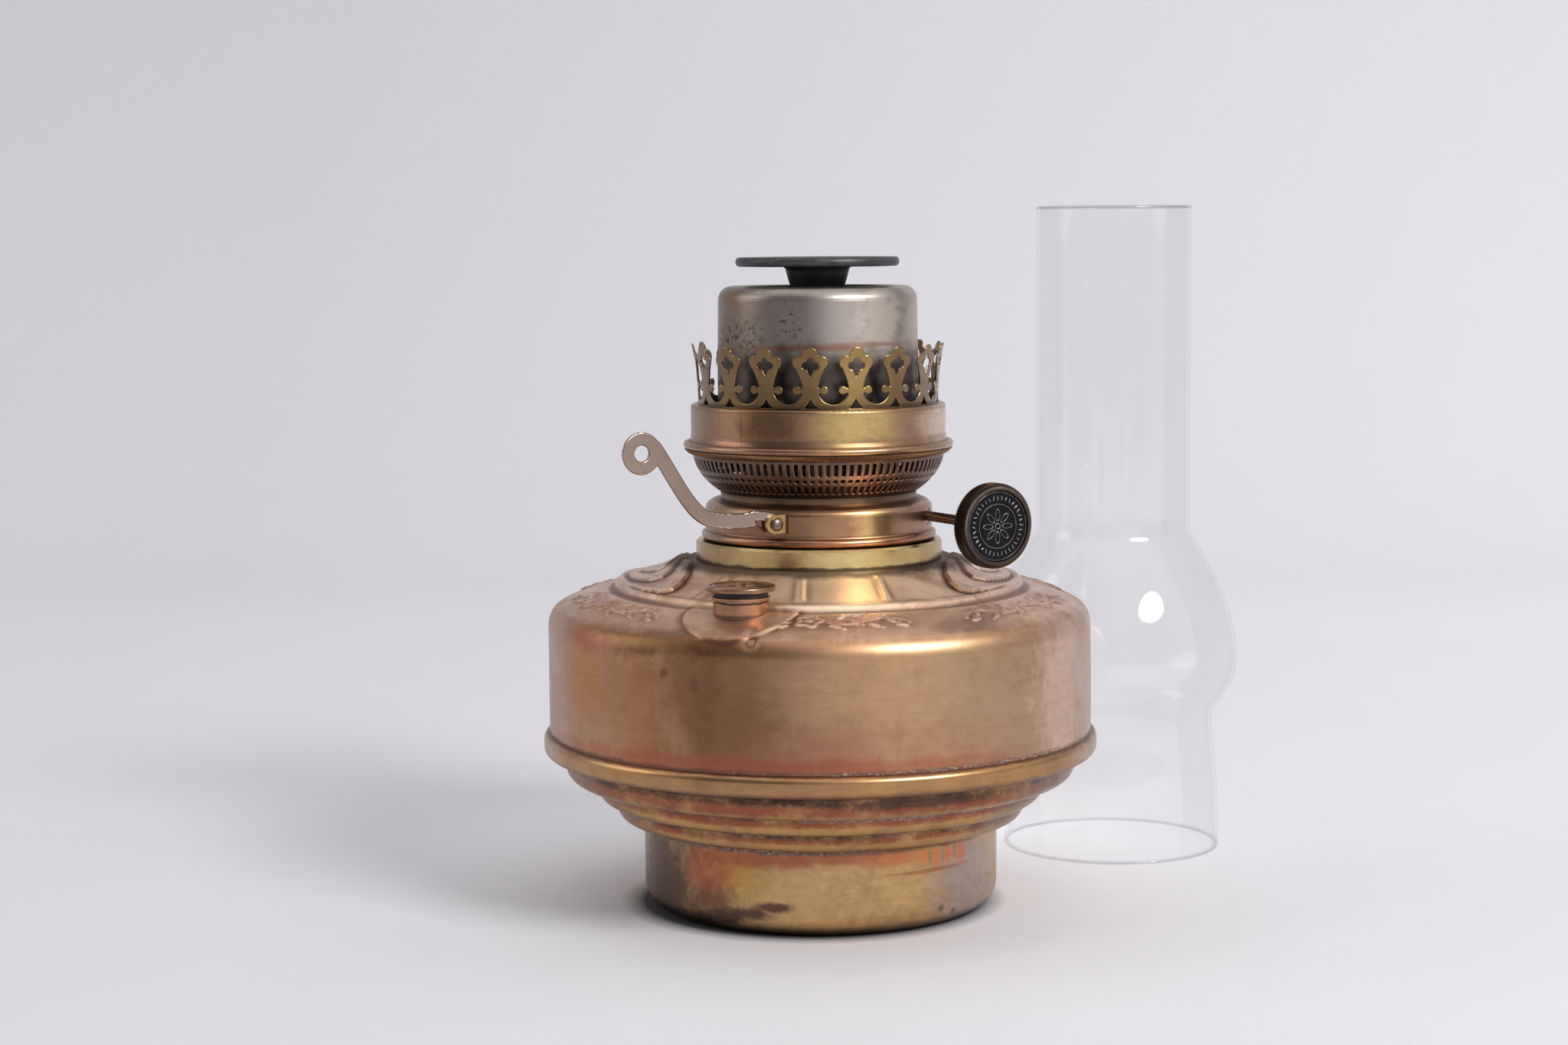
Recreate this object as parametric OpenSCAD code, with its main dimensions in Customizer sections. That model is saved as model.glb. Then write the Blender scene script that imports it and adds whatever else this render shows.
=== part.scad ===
// Round-wick kerosene lamp: a drop-in brass reservoir that carries a side-draught burner,
// with a pierced chimney gallery, an extinguisher lever and a glass chimney standing beside it.
// The axis of the lamp is Z, the floor is z = 0, and the front of the lamp looks along -Y.

/* [Reservoir] */
// Outer radius of the straight reservoir wall
font_r = 92.7; // [89:0.1:95]
// Thickness of the brass sheet of the reservoir
font_sheet = 1.0; // [0.6:0.1:1.4]
// Outer radius of the cup that drops into a stand
cup_r = 60.7; // [56:0.1:63]
// Height of the drop-in cup
cup_h = 30.6; // [24:0.1:40]
// Radius of the rounded edge under the cup
cup_edge_r = 8; // [4:0.5:10]
// Share of the way from the cup to the upper step at which the lowest step stands
low_step_share = 0.342; // [0.3:0.002:0.38]
// Height of the lowest step
low_step_h = 6.4; // [5:0.1:9]
// Share of the way from the cup to the upper step at which the middle step stands
mid_step_share = 0.586; // [0.55:0.002:0.63]
// Height of the middle step
mid_step_h = 7.3; // [5:0.1:10]
// How far the upper step stands in from the wall
top_step_in = 5.4; // [4.5:0.1:7]
// Height of the upper step
top_step_h = 8.7; // [6:0.1:12]
// How far the folded seam bead stands out of the wall
seam_out = 2.05; // [1.2:0.05:3]
// Height of the folded seam bead
seam_h = 7.4; // [5:0.1:9]
// Height of the straight wall above the seam
wall_h = 36.1; // [25:0.1:50]
// Height of the round crest above the wall
crest_h = 7.5; // [6.5:0.1:8.5]
// Width of the round crest
crest_w = 5.6; // [4.5:0.1:7]
// Height of the deck above the wall
deck_h = 10.3; // [9.5:0.1:12]
// Radius of the ridge at the foot of the raised shoulder
ridge_r = 69.5; // [66:0.1:73]
// Height of the raised shoulder above the deck
shoulder_h = 11.9; // [8:0.1:16]

/* [Filler] */
// Distance of the filler in from the reservoir's wall
filler_in = 19.7; // [18:0.1:21]
// Angle of the filler to the left of the front
filler_turn = 20.7; // [0:0.1:30]
// Outer radius of the filler neck
filler_r = 8.9; // [7.5:0.1:10]
// Height of the filler neck above the deck
filler_h = 7.4; // [6:0.1:10]
// Radius of the filler cap
cap_r = 11.1; // [10.4:0.1:12]
// Thickness of the filler cap
cap_t = 2.3; // [1.5:0.1:3]

/* [Reservoir collar] */
// Outer radius of the threaded brass collar on the reservoir
neck_ring_r = 42.0; // [41:0.1:44]
// Height of the threaded brass collar
neck_ring_h = 6.9; // [5:0.1:9]
// Radius of the thread in the collar
thread_r = 36.9; // [36.4:0.1:38]

/* [Burner body] */
// Outer radius of the burner's collar
burner_r = 38.7; // [38.2:0.1:40]
// Thickness of the burner's brass sheet
burner_sheet = 1.0; // [0.7:0.1:1.2]
// Height of the burner's collar from its foot to its neck
burner_h = 15.2; // [15.1:0.1:17]
// Radius of the burner's neck
neck_r = 33.4; // [32.8:0.1:35]
// Height of the two shafts above the burner's foot
shaft_h = 8.2; // [8:0.05:8.3]
// Turn of the two shafts about the lamp's axis
shaft_yaw = 30; // [15:1:45]

/* [Air basket] */
// Outer radius of the basket's rim
basket_r = 42.8; // [42.4:0.1:42.9]
// Height of the basket
basket_h = 14.0; // [13:0.1:16]
// Thickness of the basket's sheet
basket_sheet = 0.8; // [0.6:0.1:1]
// Number of slots round the basket
basket_slots = 100; // [60:4:104]
// Width of a basket slot
slot_w = 1.15; // [0.7:0.05:1.3]
// Height of an upper slot
tall_slot_h = 4.6; // [3:0.1:5]
// Height of a lower slot
low_slot_h = 3.4; // [2:0.1:4]
// Diameter of the small round holes between the slots
dot_d = 1.2; // [0.8:0.1:1.4]

/* [Gallery] */
// Outer radius of the gallery band
band_r = 43.4; // [43:0.1:44.5]
// Height of the gallery band above its flange
band_h = 14.1; // [10:0.1:20]
// Radius of the gallery's flange bead
flange_r = 46.0; // [45.8:0.1:48]
// Outer radius of the crown at its foot
crown_r = 40.9; // [40.5:0.1:41.2]
// How far the crown's tips lean out
crown_lean = 2.3; // [0:0.1:2.4]
// Height of the crown's pierced part
crown_h = 21.0; // [20:0.1:24]
// Thickness of the crown's sheet
crown_sheet = 0.7; // [0.5:0.1:0.8]
// Number of prongs in the crown
prongs = 17; // [12:1:17]
// Turn of the crown about the axis
crown_turn = -4.2; // [-11:0.1:11]

/* [Drum] */
// Outer radius of the drum
drum_r = 34.1; // [33.6:0.1:34.3]
// Height of the drum
drum_h = 54.5; // [50:0.1:60]
// Thickness of the drum's sheet
drum_sheet = 0.8; // [0.6:0.1:1]
// Radius of the round mouth in the drum's top
mouth_r = 25.2; // [23:0.1:26]
// Radius of the drum's round top corner
drum_corner_r = 4.6; // [3:0.1:6]
// Outer radius of the perforated carrier below the drum
carrier_r = 26.4; // [26.2:0.1:28]
// Number of air windows in the carrier
carrier_windows = 12; // [8:1:16]

/* [Wick and its tubes] */
// Outer radius of the inner draught tube
draught_r = 15.0; // [14:0.1:15.2]
// Thickness of the wick tubes' sheet
tube_sheet = 0.8; // [0.5:0.1:0.8]
// Thickness of the woven wick
wick_t = 3.0; // [2.2:0.1:3.1]
// Space on either side of the wick
wick_gap = 0.6; // [0.4:0.05:0.65]
// Depth of the wick's top below the drum's top
wick_drop = 7.0; // [6.4:0.1:12]
// Height of the wick's lower end above the floor
wick_low_z = 18; // [10:1:40]
// Width of the side duct that feeds air to the inner tube
duct_w = 14; // [8:0.5:16]
// Height of the side duct
duct_h = 6.0; // [4:0.1:6.3]

/* [Wick winder] */
// Distance of the winder shaft from the lamp's axis
winder_at = 25.3; // [24.9:0.05:25.8]
// Radius of the winder shaft
winder_r = 1.7; // [1.4:0.05:1.9]
// Distance along the shaft to the middle of the knob
knob_at = 68.5; // [60:0.5:85]
// Radius of the knob
knob_r = 14.0; // [10:0.1:15]
// Thickness of the knob
knob_t = 6.5; // [5:0.1:8]
// Number of knurls round the knob
knurls = 90; // [36:1:90]
// Radius of the black plate in the knob
plate_r = 11.6; // [7:0.05:12]

/* [Extinguisher] */
// Distance of the lever shaft from the lamp's axis
lever_at = 31.55; // [31:0.05:31.7]
// Radius of the lever shaft
lever_shaft_r = 1.7; // [1.4:0.05:1.8]
// Width of the lever's strip
lever_w = 5.0; // [4:0.1:6]
// Thickness of the lever's strip
lever_t = 1.2; // [0.8:0.1:1.6]
// Reach of the lever from its shaft to its eye
lever_reach = 48.7; // [40:0.1:55]
// Rise of the lever from its shaft to its eye
lever_rise = 25.4; // [22:0.1:32]
// Outer radius of the lever's eye
eye_r = 6.9; // [5.5:0.1:8]
// Radius of the hole in the lever's eye
eye_hole_r = 2.6; // [1.5:0.1:3.5]
// Length of the crank inside the burner
crank_l = 14.5; // [14.2:0.1:14.6]
// Angle of the crank below level when the sleeve is down
crank_drop = 30; // [20:1:32]
// Space between the outer wick tube and the sleeve
sleeve_gap = 0.6; // [0.3:0.05:0.7]
// Thickness of the sleeve
sleeve_t = 0.8; // [0.5:0.1:0.9]

/* [Flame spreader] */
// Radius of the spreader's disc
disc_r = 27.8; // [24:0.1:32]
// Thickness of the spreader's disc
disc_t = 3.2; // [2:0.1:4.5]
// Height of the disc's underside above the drum's top
disc_rise = 6.5; // [4:0.1:12]
// Radius of the spreader's stem under the disc
stem_top_r = 10.9; // [8.5:0.1:12]
// Radius of the spreader's stem at its foot
stem_foot_r = 8.1; // [5:0.1:8.4]

/* [Chimney] */
// Outer radius of the chimney's foot
glass_foot_r = 40.0; // [38.5:0.1:40.1]
// Outer radius of the chimney's bulge
glass_bulge_r = 46.4; // [44:0.1:47.5]
// Outer radius of the chimney's tube
glass_tube_r = 28.5; // [26:0.1:32]
// Height of the chimney
glass_h = 238.5; // [200:0.5:300]
// Height of the straight foot of the chimney
glass_foot_h = 12; // [10:0.5:16]
// Height of the waist above the chimney's foot
glass_waist_h = 50; // [46:0.5:54]
// How far the waist is narrower than the foot
glass_waist_in = 2.6; // [1:0.1:3.5]
// Height of the widest part of the bulge
glass_bulge_h = 71; // [68:0.5:80]
// Height at which the straight tube starts
glass_neck_h = 121; // [110:0.5:135]
// Thickness of the glass
glass_t = 1.5; // [1:0.1:2]
// Distance of the standing chimney to the right of the lamp's axis
glass_x = 110.6; // [110.4:0.1:130]
// Distance of the standing chimney behind the lamp's axis
glass_y = 87.2; // [87:0.1:110]

/* [Hidden] */
$fn = 96;

// Clearances: a flat seat that comes apart, a sliding fit and a running fit
seat_gap = 0.2;
slide_gap = 0.3;
run_gap = 0.05;

// Steps and heights of the reservoir
top_step_r = font_r - top_step_in;
low_step_r = cup_r + low_step_share * (top_step_r - cup_r);
mid_step_r = cup_r + mid_step_share * (top_step_r - cup_r);
low_step_z = cup_h + low_step_h;
mid_step_z = low_step_z + mid_step_h;
seam_z = mid_step_z + top_step_h;
wall_z = seam_z + seam_h;
crest_z = wall_z + wall_h;
deck_z = crest_z + deck_h;
neck_ring_z = deck_z + shoulder_h;
seam_r = font_r + seam_out;
step_round = 3.2;

// Filler
filler_at = font_r - filler_in;
filler_z = deck_z + filler_h;
filler_bore_r = filler_r - 1.0;
filler_sink = 4.5;
gasket_t = 1.6;
cap_z = filler_z + seat_gap + gasket_t;
plug_r = filler_bore_r - seat_gap;
plug_wall = 1.2;
plug_h = 8;

// Burner body
burner_z = neck_ring_z + neck_ring_h + seat_gap;
burner_top_z = burner_z + burner_h;
foot_bead_r = 1.55;
shaft_z = burner_z + shaft_h;
skirt_r = thread_r - slide_gap;
skirt_t = 1.0;
skirt_h = 15.8;
skirt_z = burner_z - skirt_h;
skirt_web = 0.8;
floor_t = 1.0;
floor_rise = 2.0;
floor_z = skirt_z + floor_rise;
floor_top_z = floor_z + floor_t;
plate_t = 0.8;
plate_top_z = burner_top_z + plate_t;

// Basket, gallery and crown
rim_z = plate_top_z + basket_h;
gallery_z = rim_z + seat_gap;
web_t = 0.8;
band_t = 0.8;
bead_r = 1.25;
bead_at = flange_r - bead_r;
bead_z = gallery_z + 2.0;
web_r = 44.0;
milled_r = flange_r - 0.4;
milled_drop = 1.15;
band_z = gallery_z + 1.6;
band_top_z = band_z + band_h;
seat_drop = 3.4;
crown_z = band_top_z;
crown_foot_z = band_top_z - seat_drop;
crown_in_r = crown_r - crown_sheet;
half_pitch = crown_r * tan(180 / prongs);
swag_z = 6.9;
swag_out = 8.3;
swag_in = 5.1;

// Drum
carrier_t = 0.8;
carrier_h = 15.2;
carrier_top_z = plate_top_z + carrier_h;
drum_top_z = carrier_top_z + drum_h;

// Tubes, wick and sleeve
wick_in_r = draught_r + wick_gap;
wick_out_r = wick_in_r + wick_t;
tube_in_r = wick_out_r + wick_gap;
tube_r = tube_in_r + tube_sheet;
sleeve_in_r = tube_r + sleeve_gap;
sleeve_r = sleeve_in_r + sleeve_t;
tube_top_z = drum_top_z - 7.5;
draught_top_z = drum_top_z - 6.0;
draught_low_z = plate_top_z - 1.0;
wick_top_z = drum_top_z - wick_drop;
wick_travel = 6.2;
duct_z = plate_top_z + 1.0;
duct_t = 0.6;

// Wick winder
wheel_r = winder_at - wick_out_r - 0.15;
wheel_t = 1.5;
wheel_apart = 5.4;
bracket_t = 1.2;
bracket_reach = 8.5;
knob_back = knob_at - knob_t / 2;
knob_front = knob_at + knob_t / 2;
plate_depth = 1.2;
bush_r = 3.0;

// Extinguisher, in distances along the lever shaft
lever_wall_at = sqrt(pow(burner_r, 2) - pow(lever_at, 2));
bush_plate_t = 1.2;
lever_face = lever_wall_at + 0.1;
lever_in = lever_face + 1.2;
lever_out = lever_in + lever_t;
keeper_in = lever_out + 0.1;
keeper_t = 1.0;
keeper_w = 3.8;
keeper_left = 0.7;
keeper_h = 6.2;
keeper_fold = 1.0;
notch_gap = 0.1;
screw_seat = keeper_in + keeper_t + run_gap;
crank_in = 14.0;
crank_t = 1.4;
pin_r = 1.0;
pin_clear = 0.4;
rod_at = 17.0;
rod_r = 0.8;
fork_t = 1.6;
rod_v = -lever_at + crank_l;
fork_z = shaft_z - crank_l * sin(crank_drop);
sleeve_low_z = duct_z + duct_h + 1.2;
sleeve_top_z = drum_top_z - 8.5;
sleeve_lip_r = carrier_r - carrier_t - slide_gap;

// Flame spreader
disc_z = drum_top_z + disc_rise;
thimble_r = draught_r - tube_sheet - slide_gap;
thimble_z = draught_top_z + seat_gap;
thimble_t = 0.6;
thimble_h = 18;

// Points on an ellipse about (cx, cy), from angle a0 to a1
function arc_points(cx, cy, rx, ry, a0, a1, n) =
    [for (i = [0:n]) let (a = a0 + (a1 - a0) * i / n) [cx + rx * cos(a), cy + ry * sin(a)]];

// Points on a cubic curve with four handles
function curve_points(p, n) =
    [for (i = [0:n]) let (t = i / n, s = 1 - t)
        s * s * s * p[0] + 3 * s * s * t * p[1] + 3 * s * t * t * p[2] + t * t * t * p[3]];

// Unit normal, to the left of a path, at its point i
function path_normal(path, i) =
    let (last = len(path) - 1,
         d = path[min(i + 1, last)] - path[max(i - 1, 0)])
    [-d.y, d.x] / norm(d);

// The same path shifted to its left by t
function shifted(path, t) =
    [for (i = [0:len(path) - 1]) path[i] + t * path_normal(path, i)];

function reversed(path) = [for (i = [len(path) - 1:-1:0]) path[i]];

// Path without its first point, to join it to the end of another
function tail(path) = [for (i = [1:len(path) - 1]) path[i]];

// Value at the share t of the way from a to b
function between(a, b, t) = a + (b - a) * t;

// Sheet of thickness t spun about Z, to the left of its outer face, from point a to point b
module sheet_part(path, t, a, b) {
    inner = shifted(path, t);
    rotate_extrude() polygon(concat([for (i = [a:b]) path[i]], [for (i = [b:-1:a]) inner[i]]));
}

// The same sheet over the whole of its path
module spun_sheet(path, t) {
    sheet_part(path, t, 0, len(path) - 1);
}

module ring(r_out, r_in, z, h) {
    translate([0, 0, z]) difference() {
        cylinder(r = r_out, h = h);
        translate([0, 0, -1]) cylinder(r = r_in, h = h + 2);
    }
}

// Frame of the two shafts: x across them, y up from their height, z out along them
module shaft_frame() {
    rotate([90, 0, shaft_yaw]) translate([0, shaft_z, 0]) children();
}

// Round bar along a shaft, at x = v, from distance a to distance b
module bar(v, r, a, b) {
    translate([v, 0, a]) cylinder(r = r, h = b - a);
}

module at_filler() {
    rotate([0, 0, -filler_turn]) translate([0, -filler_at, 0]) children();
}

module filler_hole() {
    at_filler() translate([0, 0, deck_z - 10]) cylinder(r = filler_r, h = 30);
}

// Reservoir

// Top of the reservoir: wall, round crest, deck, ridge and sloping shoulder
crest_end = 68;
crest_end_at = [font_r - crest_w * (1 - cos(crest_end)), crest_z + crest_h * sin(crest_end)];
deck_in_at = [ridge_r + 3.4, deck_z + 2.0];
crest_steps = 8;
deck_steps = 6;
font_path = concat(
    [[font_r, seam_z + 0.5]],
    arc_points(font_r - crest_w, crest_z, crest_w, crest_h, 0, crest_end, crest_steps),
    tail(curve_points([crest_end_at,
        crest_end_at + 0.85 * [-crest_w * sin(crest_end), crest_h * cos(crest_end)],
        deck_in_at + [6.1, -0.9], deck_in_at], deck_steps)),
    [[ridge_r + 1.4, deck_z + 2.2], [ridge_r, deck_z + 3.6], [ridge_r - 2.6, deck_z + 4.3],
     [neck_ring_r + 6.5, neck_ring_z - 1.6], [neck_ring_r + 2.2, neck_ring_z - 0.5],
     [neck_ring_r + 0.6, neck_ring_z], [thread_r + 1, neck_ring_z]]);
ridge_point = crest_steps + deck_steps + 3;

module font_wall() {
    color("#b5774f") sheet_part(font_path, font_sheet, 0, 1);
}

module font_deck() {
    color("#b57a55") difference() {
        sheet_part(font_path, font_sheet, 1, ridge_point);
        filler_hole();
    }
}

module font_shoulder() {
    color("#b07a58") difference() {
        sheet_part(font_path, font_sheet, ridge_point, len(font_path) - 1);
        filler_hole();
    }
}

// Lower half of the reservoir: folded seam bead and three rounded steps
pan_path = concat(
    [[cup_r - font_sheet, cup_h]],
    arc_points(low_step_r - step_round, cup_h + step_round, step_round, step_round, -90, 0, 5),
    arc_points(mid_step_r - step_round, low_step_z + step_round, step_round, step_round, -90, 0, 5),
    arc_points(top_step_r - step_round - 1, mid_step_z + step_round + 1, step_round + 1,
        step_round + 1, -90, 0, 5),
    [[top_step_r, seam_z + 0.5]]);

module font_pan() {
    bead_round = 2.4;
    color("#a96f45") union() {
        spun_sheet(pan_path, font_sheet);
        rotate_extrude() difference() {
            union() {
                translate([top_step_r - 1, seam_z]) square([seam_r - bead_round - top_step_r + 1, seam_h]);
                translate([top_step_r, seam_z + bead_round])
                    square([seam_r - top_step_r, seam_h - 2 * bead_round]);
                for (z = [seam_z + bead_round, wall_z - bead_round])
                    translate([seam_r - bead_round, z]) circle(r = bead_round);
            }
            translate([top_step_r - font_sheet - 1, seam_z + 0.5])
                square([font_r - top_step_r + font_sheet + 1, seam_h]);
        }
    }
}

// Drop-in cup that the lamp stands on, with a flat bottom
cup_path = concat([[0, 0]],
    arc_points(cup_r - cup_edge_r, cup_edge_r, cup_edge_r, cup_edge_r, -90, 0, 7),
    [[cup_r, cup_h]]);

module base_cup() {
    color("#b07b4a") spun_sheet(cup_path, font_sheet);
}

module neck_ring() {
    color("#c9a75a") difference() {
        union() {
            ring(neck_ring_r, thread_r, neck_ring_z, neck_ring_h - 0.8);
            translate([0, 0, neck_ring_z + neck_ring_h - 0.8])
                cylinder(r1 = neck_ring_r, r2 = neck_ring_r - 0.8, h = 0.8);
        }
        translate([0, 0, neck_ring_z - 1]) cylinder(r = thread_r, h = neck_ring_h + 2);
    }
}

module filler_neck() {
    rim_h = 0.9;
    color("#a96a45") at_filler() {
        ring(filler_r, filler_bore_r, deck_z - filler_sink, filler_h + filler_sink - rim_h);
        ring(filler_r + 0.5, filler_bore_r, filler_z - rim_h, rim_h);
    }
}

// Screw cap: a domed disc on a hollow threaded plug
module filler_cap() {
    dome = 0.6;
    color("#8a6a4a") at_filler() {
        translate([0, 0, cap_z]) {
            rotate_extrude() polygon(concat([[0, 0], [cap_r - 0.5, 0], [cap_r, 0.5],
                [cap_r, cap_t - dome - 0.4]],
                arc_points(0, cap_t - dome, cap_r - 0.4, dome, 0, 90, 6)));
        }
        ring(plug_r, plug_r - plug_wall, cap_z - plug_h, plug_h);
    }
}

module cap_gasket() {
    color("#2e2620") at_filler() ring(filler_r - 0.2, plug_r, filler_z + seat_gap, gasket_t);
}

// Burner body

// Outer shell of the burner: foot bead, straight body, round shoulder and neck
burner_path = concat(
    [[burner_r + 0.2, burner_z + 2 * foot_bead_r], [burner_r, burner_z + 2 * foot_bead_r + 0.4]],
    arc_points(burner_r - 4.6, burner_top_z - 4.8, 4.6, 3.4, 0, 76, 6),
    [[neck_r, burner_top_z - 1.2], [neck_r, burner_top_z]]);

module burner_collar() {
    color("#b0824f") difference() {
        union() {
            spun_sheet(burner_path, burner_sheet);
            rotate_extrude() difference() {
                union() {
                    translate([burner_r - 0.2, burner_z + foot_bead_r]) circle(r = foot_bead_r);
                    translate([burner_r - burner_sheet, burner_z])
                        square([burner_sheet, 2 * foot_bead_r + 0.4]);
                }
                translate([burner_r - burner_sheet - 2, burner_z - 1]) square([2, 6]);
            }
        }
        shaft_frame() {
            bar(winder_at, bush_r, 20, burner_r + 5);
            bar(-lever_at, bush_r, crank_in + crank_t, lever_face);
            translate([-lever_at, 0, lever_face - bush_plate_t])
                linear_extrude(12) keeper_outline(notch_gap);
        }
    }
}

// Outline of the lever's keeper: square to the right, round to the left, grown by g
module keeper_outline(g) {
    half = keeper_h / 2 + g;
    translate([-keeper_left, 0]) circle(r = half);
    translate([-keeper_left, -half]) square([keeper_left + keeper_w + g, 2 * half]);
}

// Threaded skirt that screws into the reservoir's collar, with the web under the burner's shell
module burner_skirt() {
    color("#b89055") {
        ring(skirt_r, skirt_r - skirt_t, skirt_z, skirt_h + skirt_web);
        ring(burner_r - burner_sheet, skirt_r, burner_z, skirt_web);
    }
}

module burner_floor() {
    color("#a5824f") ring(skirt_r - skirt_t, tube_r, floor_z, floor_t);
}

// Outer wick tube, slotted for the winder's wheels and cut away for the side duct
module outer_wick_tube() {
    slot_half = 4.7;
    color("#b08b52") difference() {
        ring(tube_r, tube_in_r, floor_z, tube_top_z - floor_z);
        shaft_frame() {
            translate([wick_out_r - 3, -slot_half, -wheel_apart / 2 - wheel_t])
                cube([8, 2 * slot_half, wheel_apart + 2 * wheel_t]);
            translate([-duct_w / 2, duct_z - shaft_z, -tube_r - 3]) cube([duct_w, duct_h, 12]);
        }
    }
}

// Inner draught tube, closed below, with the side window that its air comes in by
module draught_tube() {
    in_r = draught_r - tube_sheet;
    color("#9c7b4a") difference() {
        translate([0, 0, draught_low_z]) cylinder(r = draught_r, h = draught_top_z - draught_low_z);
        translate([0, 0, draught_low_z + tube_sheet]) cylinder(r = in_r, h = drum_h + 20);
        shaft_frame() translate([-duct_w / 2, duct_z - shaft_z, -draught_r - 3])
            cube([duct_w, duct_h, 12]);
    }
}

// Side duct: a short channel that joins the two tubes and lets air in across the wick
module draught_duct() {
    color("#9c7b4a") difference() {
        shaft_frame() difference() {
            translate([-duct_w / 2, duct_z - shaft_z, -tube_r - 1.2])
                cube([duct_w, duct_h, 12]);
            translate([-duct_w / 2 + duct_t, duct_z - shaft_z + duct_t, -tube_r - 3])
                cube([duct_w - 2 * duct_t, duct_h - 2 * duct_t, 20]);
        }
        translate([0, 0, duct_z - 1]) cylinder(r = draught_r - tube_sheet, h = duct_h + 2);
    }
}

// Plate that closes the burner's neck and carries the basket and the drum's carrier
module air_plate() {
    color("#94713f") difference() {
        ring(neck_r, tube_r, burner_top_z, plate_t);
        rotate([0, 0, shaft_yaw]) translate([rod_v, -rod_at, burner_top_z - 1])
            cylinder(r = rod_r + slide_gap, h = plate_t + 2);
    }
}

// Perforated bowl: two rows of slots with a row of dots between them
tall_z = rim_z - 1.0 - tall_slot_h;
dot_z = tall_z - 1.9;
low_z = dot_z - 1.6 - low_slot_h;
basket_path = [[carrier_r, plate_top_z], [neck_r, plate_top_z], [neck_r + 1.6, low_z - 0.6],
    [basket_r - 3.2, dot_z - 1.2], [basket_r - 1.7, tall_z - 0.8], [basket_r, rim_z - 0.8],
    [basket_r, rim_z]];

module air_basket() {
    color("#6f4f38") difference() {
        spun_sheet(basket_path, basket_sheet);
        for (i = [0:basket_slots - 1]) rotate([0, 0, i * 360 / basket_slots]) {
            translate([neck_r, -slot_w / 2, tall_z]) cube([14, slot_w, tall_slot_h]);
            translate([neck_r - 3, -slot_w / 2, low_z]) cube([14, slot_w, low_slot_h]);
            translate([neck_r - 3, 0, dot_z]) rotate([0, 90, 0])
                cylinder(d = dot_d, h = 14, $fn = 6);
        }
    }
}

// Windowed cylinder inside the basket, with the perforated flange that the drum stands on
module drum_carrier() {
    in_r = carrier_r - carrier_t;
    window_h = 8;
    hole_ring_r = (carrier_r + drum_r - drum_sheet) / 2;
    color("#8a6a44") difference() {
        union() {
            ring(carrier_r, in_r, plate_top_z, carrier_h);
            ring(drum_r, in_r, carrier_top_z - carrier_t, carrier_t);
        }
        for (i = [0:carrier_windows - 1]) rotate([0, 0, (i + 0.5) * 360 / carrier_windows]) {
            translate([in_r - 3, -2.2, plate_top_z + 3]) cube([6, 4.4, window_h]);
            translate([hole_ring_r, 0, carrier_top_z - 3]) cylinder(r = 1.9, h = 6);
        }
    }
}

// Drum over the wick tubes: straight wall, round corner and a turned-down mouth
drum_path = concat(
    [[drum_r, carrier_top_z], [drum_r, drum_top_z - 24]],
    arc_points(drum_r - 0.3 - drum_corner_r, drum_top_z - drum_corner_r, drum_corner_r,
        drum_corner_r, 0, 84, 7),
    [[mouth_r + 2, drum_top_z], [mouth_r + 0.6, drum_top_z - 0.2], [mouth_r, drum_top_z - 0.9],
     [mouth_r, drum_top_z - 1.8]]);
corner_point = 2;

module drum() {
    color("#9a948c") sheet_part(drum_path, drum_sheet, 0, corner_point);
}

module drum_mouth() {
    color("#8f8a83") sheet_part(drum_path, drum_sheet, corner_point, len(drum_path) - 1);
}

// Bush of the winder shaft, dressed flush with the burner's round wall
module winder_bush() {
    face = sqrt(pow(burner_r, 2) - pow(winder_at, 2));
    flush_in = 0.15;
    color("#8a6238") difference() {
        intersection() {
            shaft_frame() bar(winder_at, bush_r, face - 7, face + 5);
            translate([0, 0, burner_z]) cylinder(r = burner_r - flush_in, h = burner_h);
        }
        shaft_frame() bar(winder_at, winder_r + run_gap, face - 9, face + 7);
    }
}

// U-shaped bracket on the burner's floor that carries the inner end of the winder shaft
module winder_bracket() {
    low = floor_top_z - shaft_z;
    half_w = 3.9;
    color("#a5824f") shaft_frame() difference() {
        union() {
            translate([winder_at - half_w, low, -bracket_reach]) cube([2 * half_w, bracket_t,
                2 * bracket_reach]);
            for (a = [-bracket_reach, bracket_reach - bracket_t])
                translate([winder_at - half_w, low, a]) cube([2 * half_w, half_w - low, bracket_t]);
        }
        bar(winder_at, winder_r + run_gap, -bracket_reach - 2, bracket_reach + 2);
    }
}

// Bush of the lever shaft, with a plate that fills the burner's notch
module lever_bush() {
    color("#8a6238") shaft_frame() difference() {
        union() {
            bar(-lever_at, bush_r, crank_in + crank_t + 0.4, lever_face);
            translate([-lever_at, 0, lever_face - bush_plate_t])
                linear_extrude(bush_plate_t) keeper_outline(0);
            bar(-lever_at, lever_shaft_r + 0.8, lever_face, lever_in - 0.1);
        }
        bar(-lever_at, lever_shaft_r + run_gap, crank_in, lever_in + 2);
    }
}

// Folded plate that keeps the lever on its bush: square to the right, round to the left
module lever_keeper() {
    color("#c59c58") shaft_frame() translate([-lever_at, 0, 0]) {
        translate([0, 0, keeper_in]) linear_extrude(keeper_t) difference() {
            keeper_outline(0);
            circle(r = lever_shaft_r + run_gap);
        }
        translate([keeper_w - keeper_fold, -keeper_h / 2, lever_face])
            cube([keeper_fold, keeper_h, keeper_in - lever_face]);
    }
}

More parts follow.
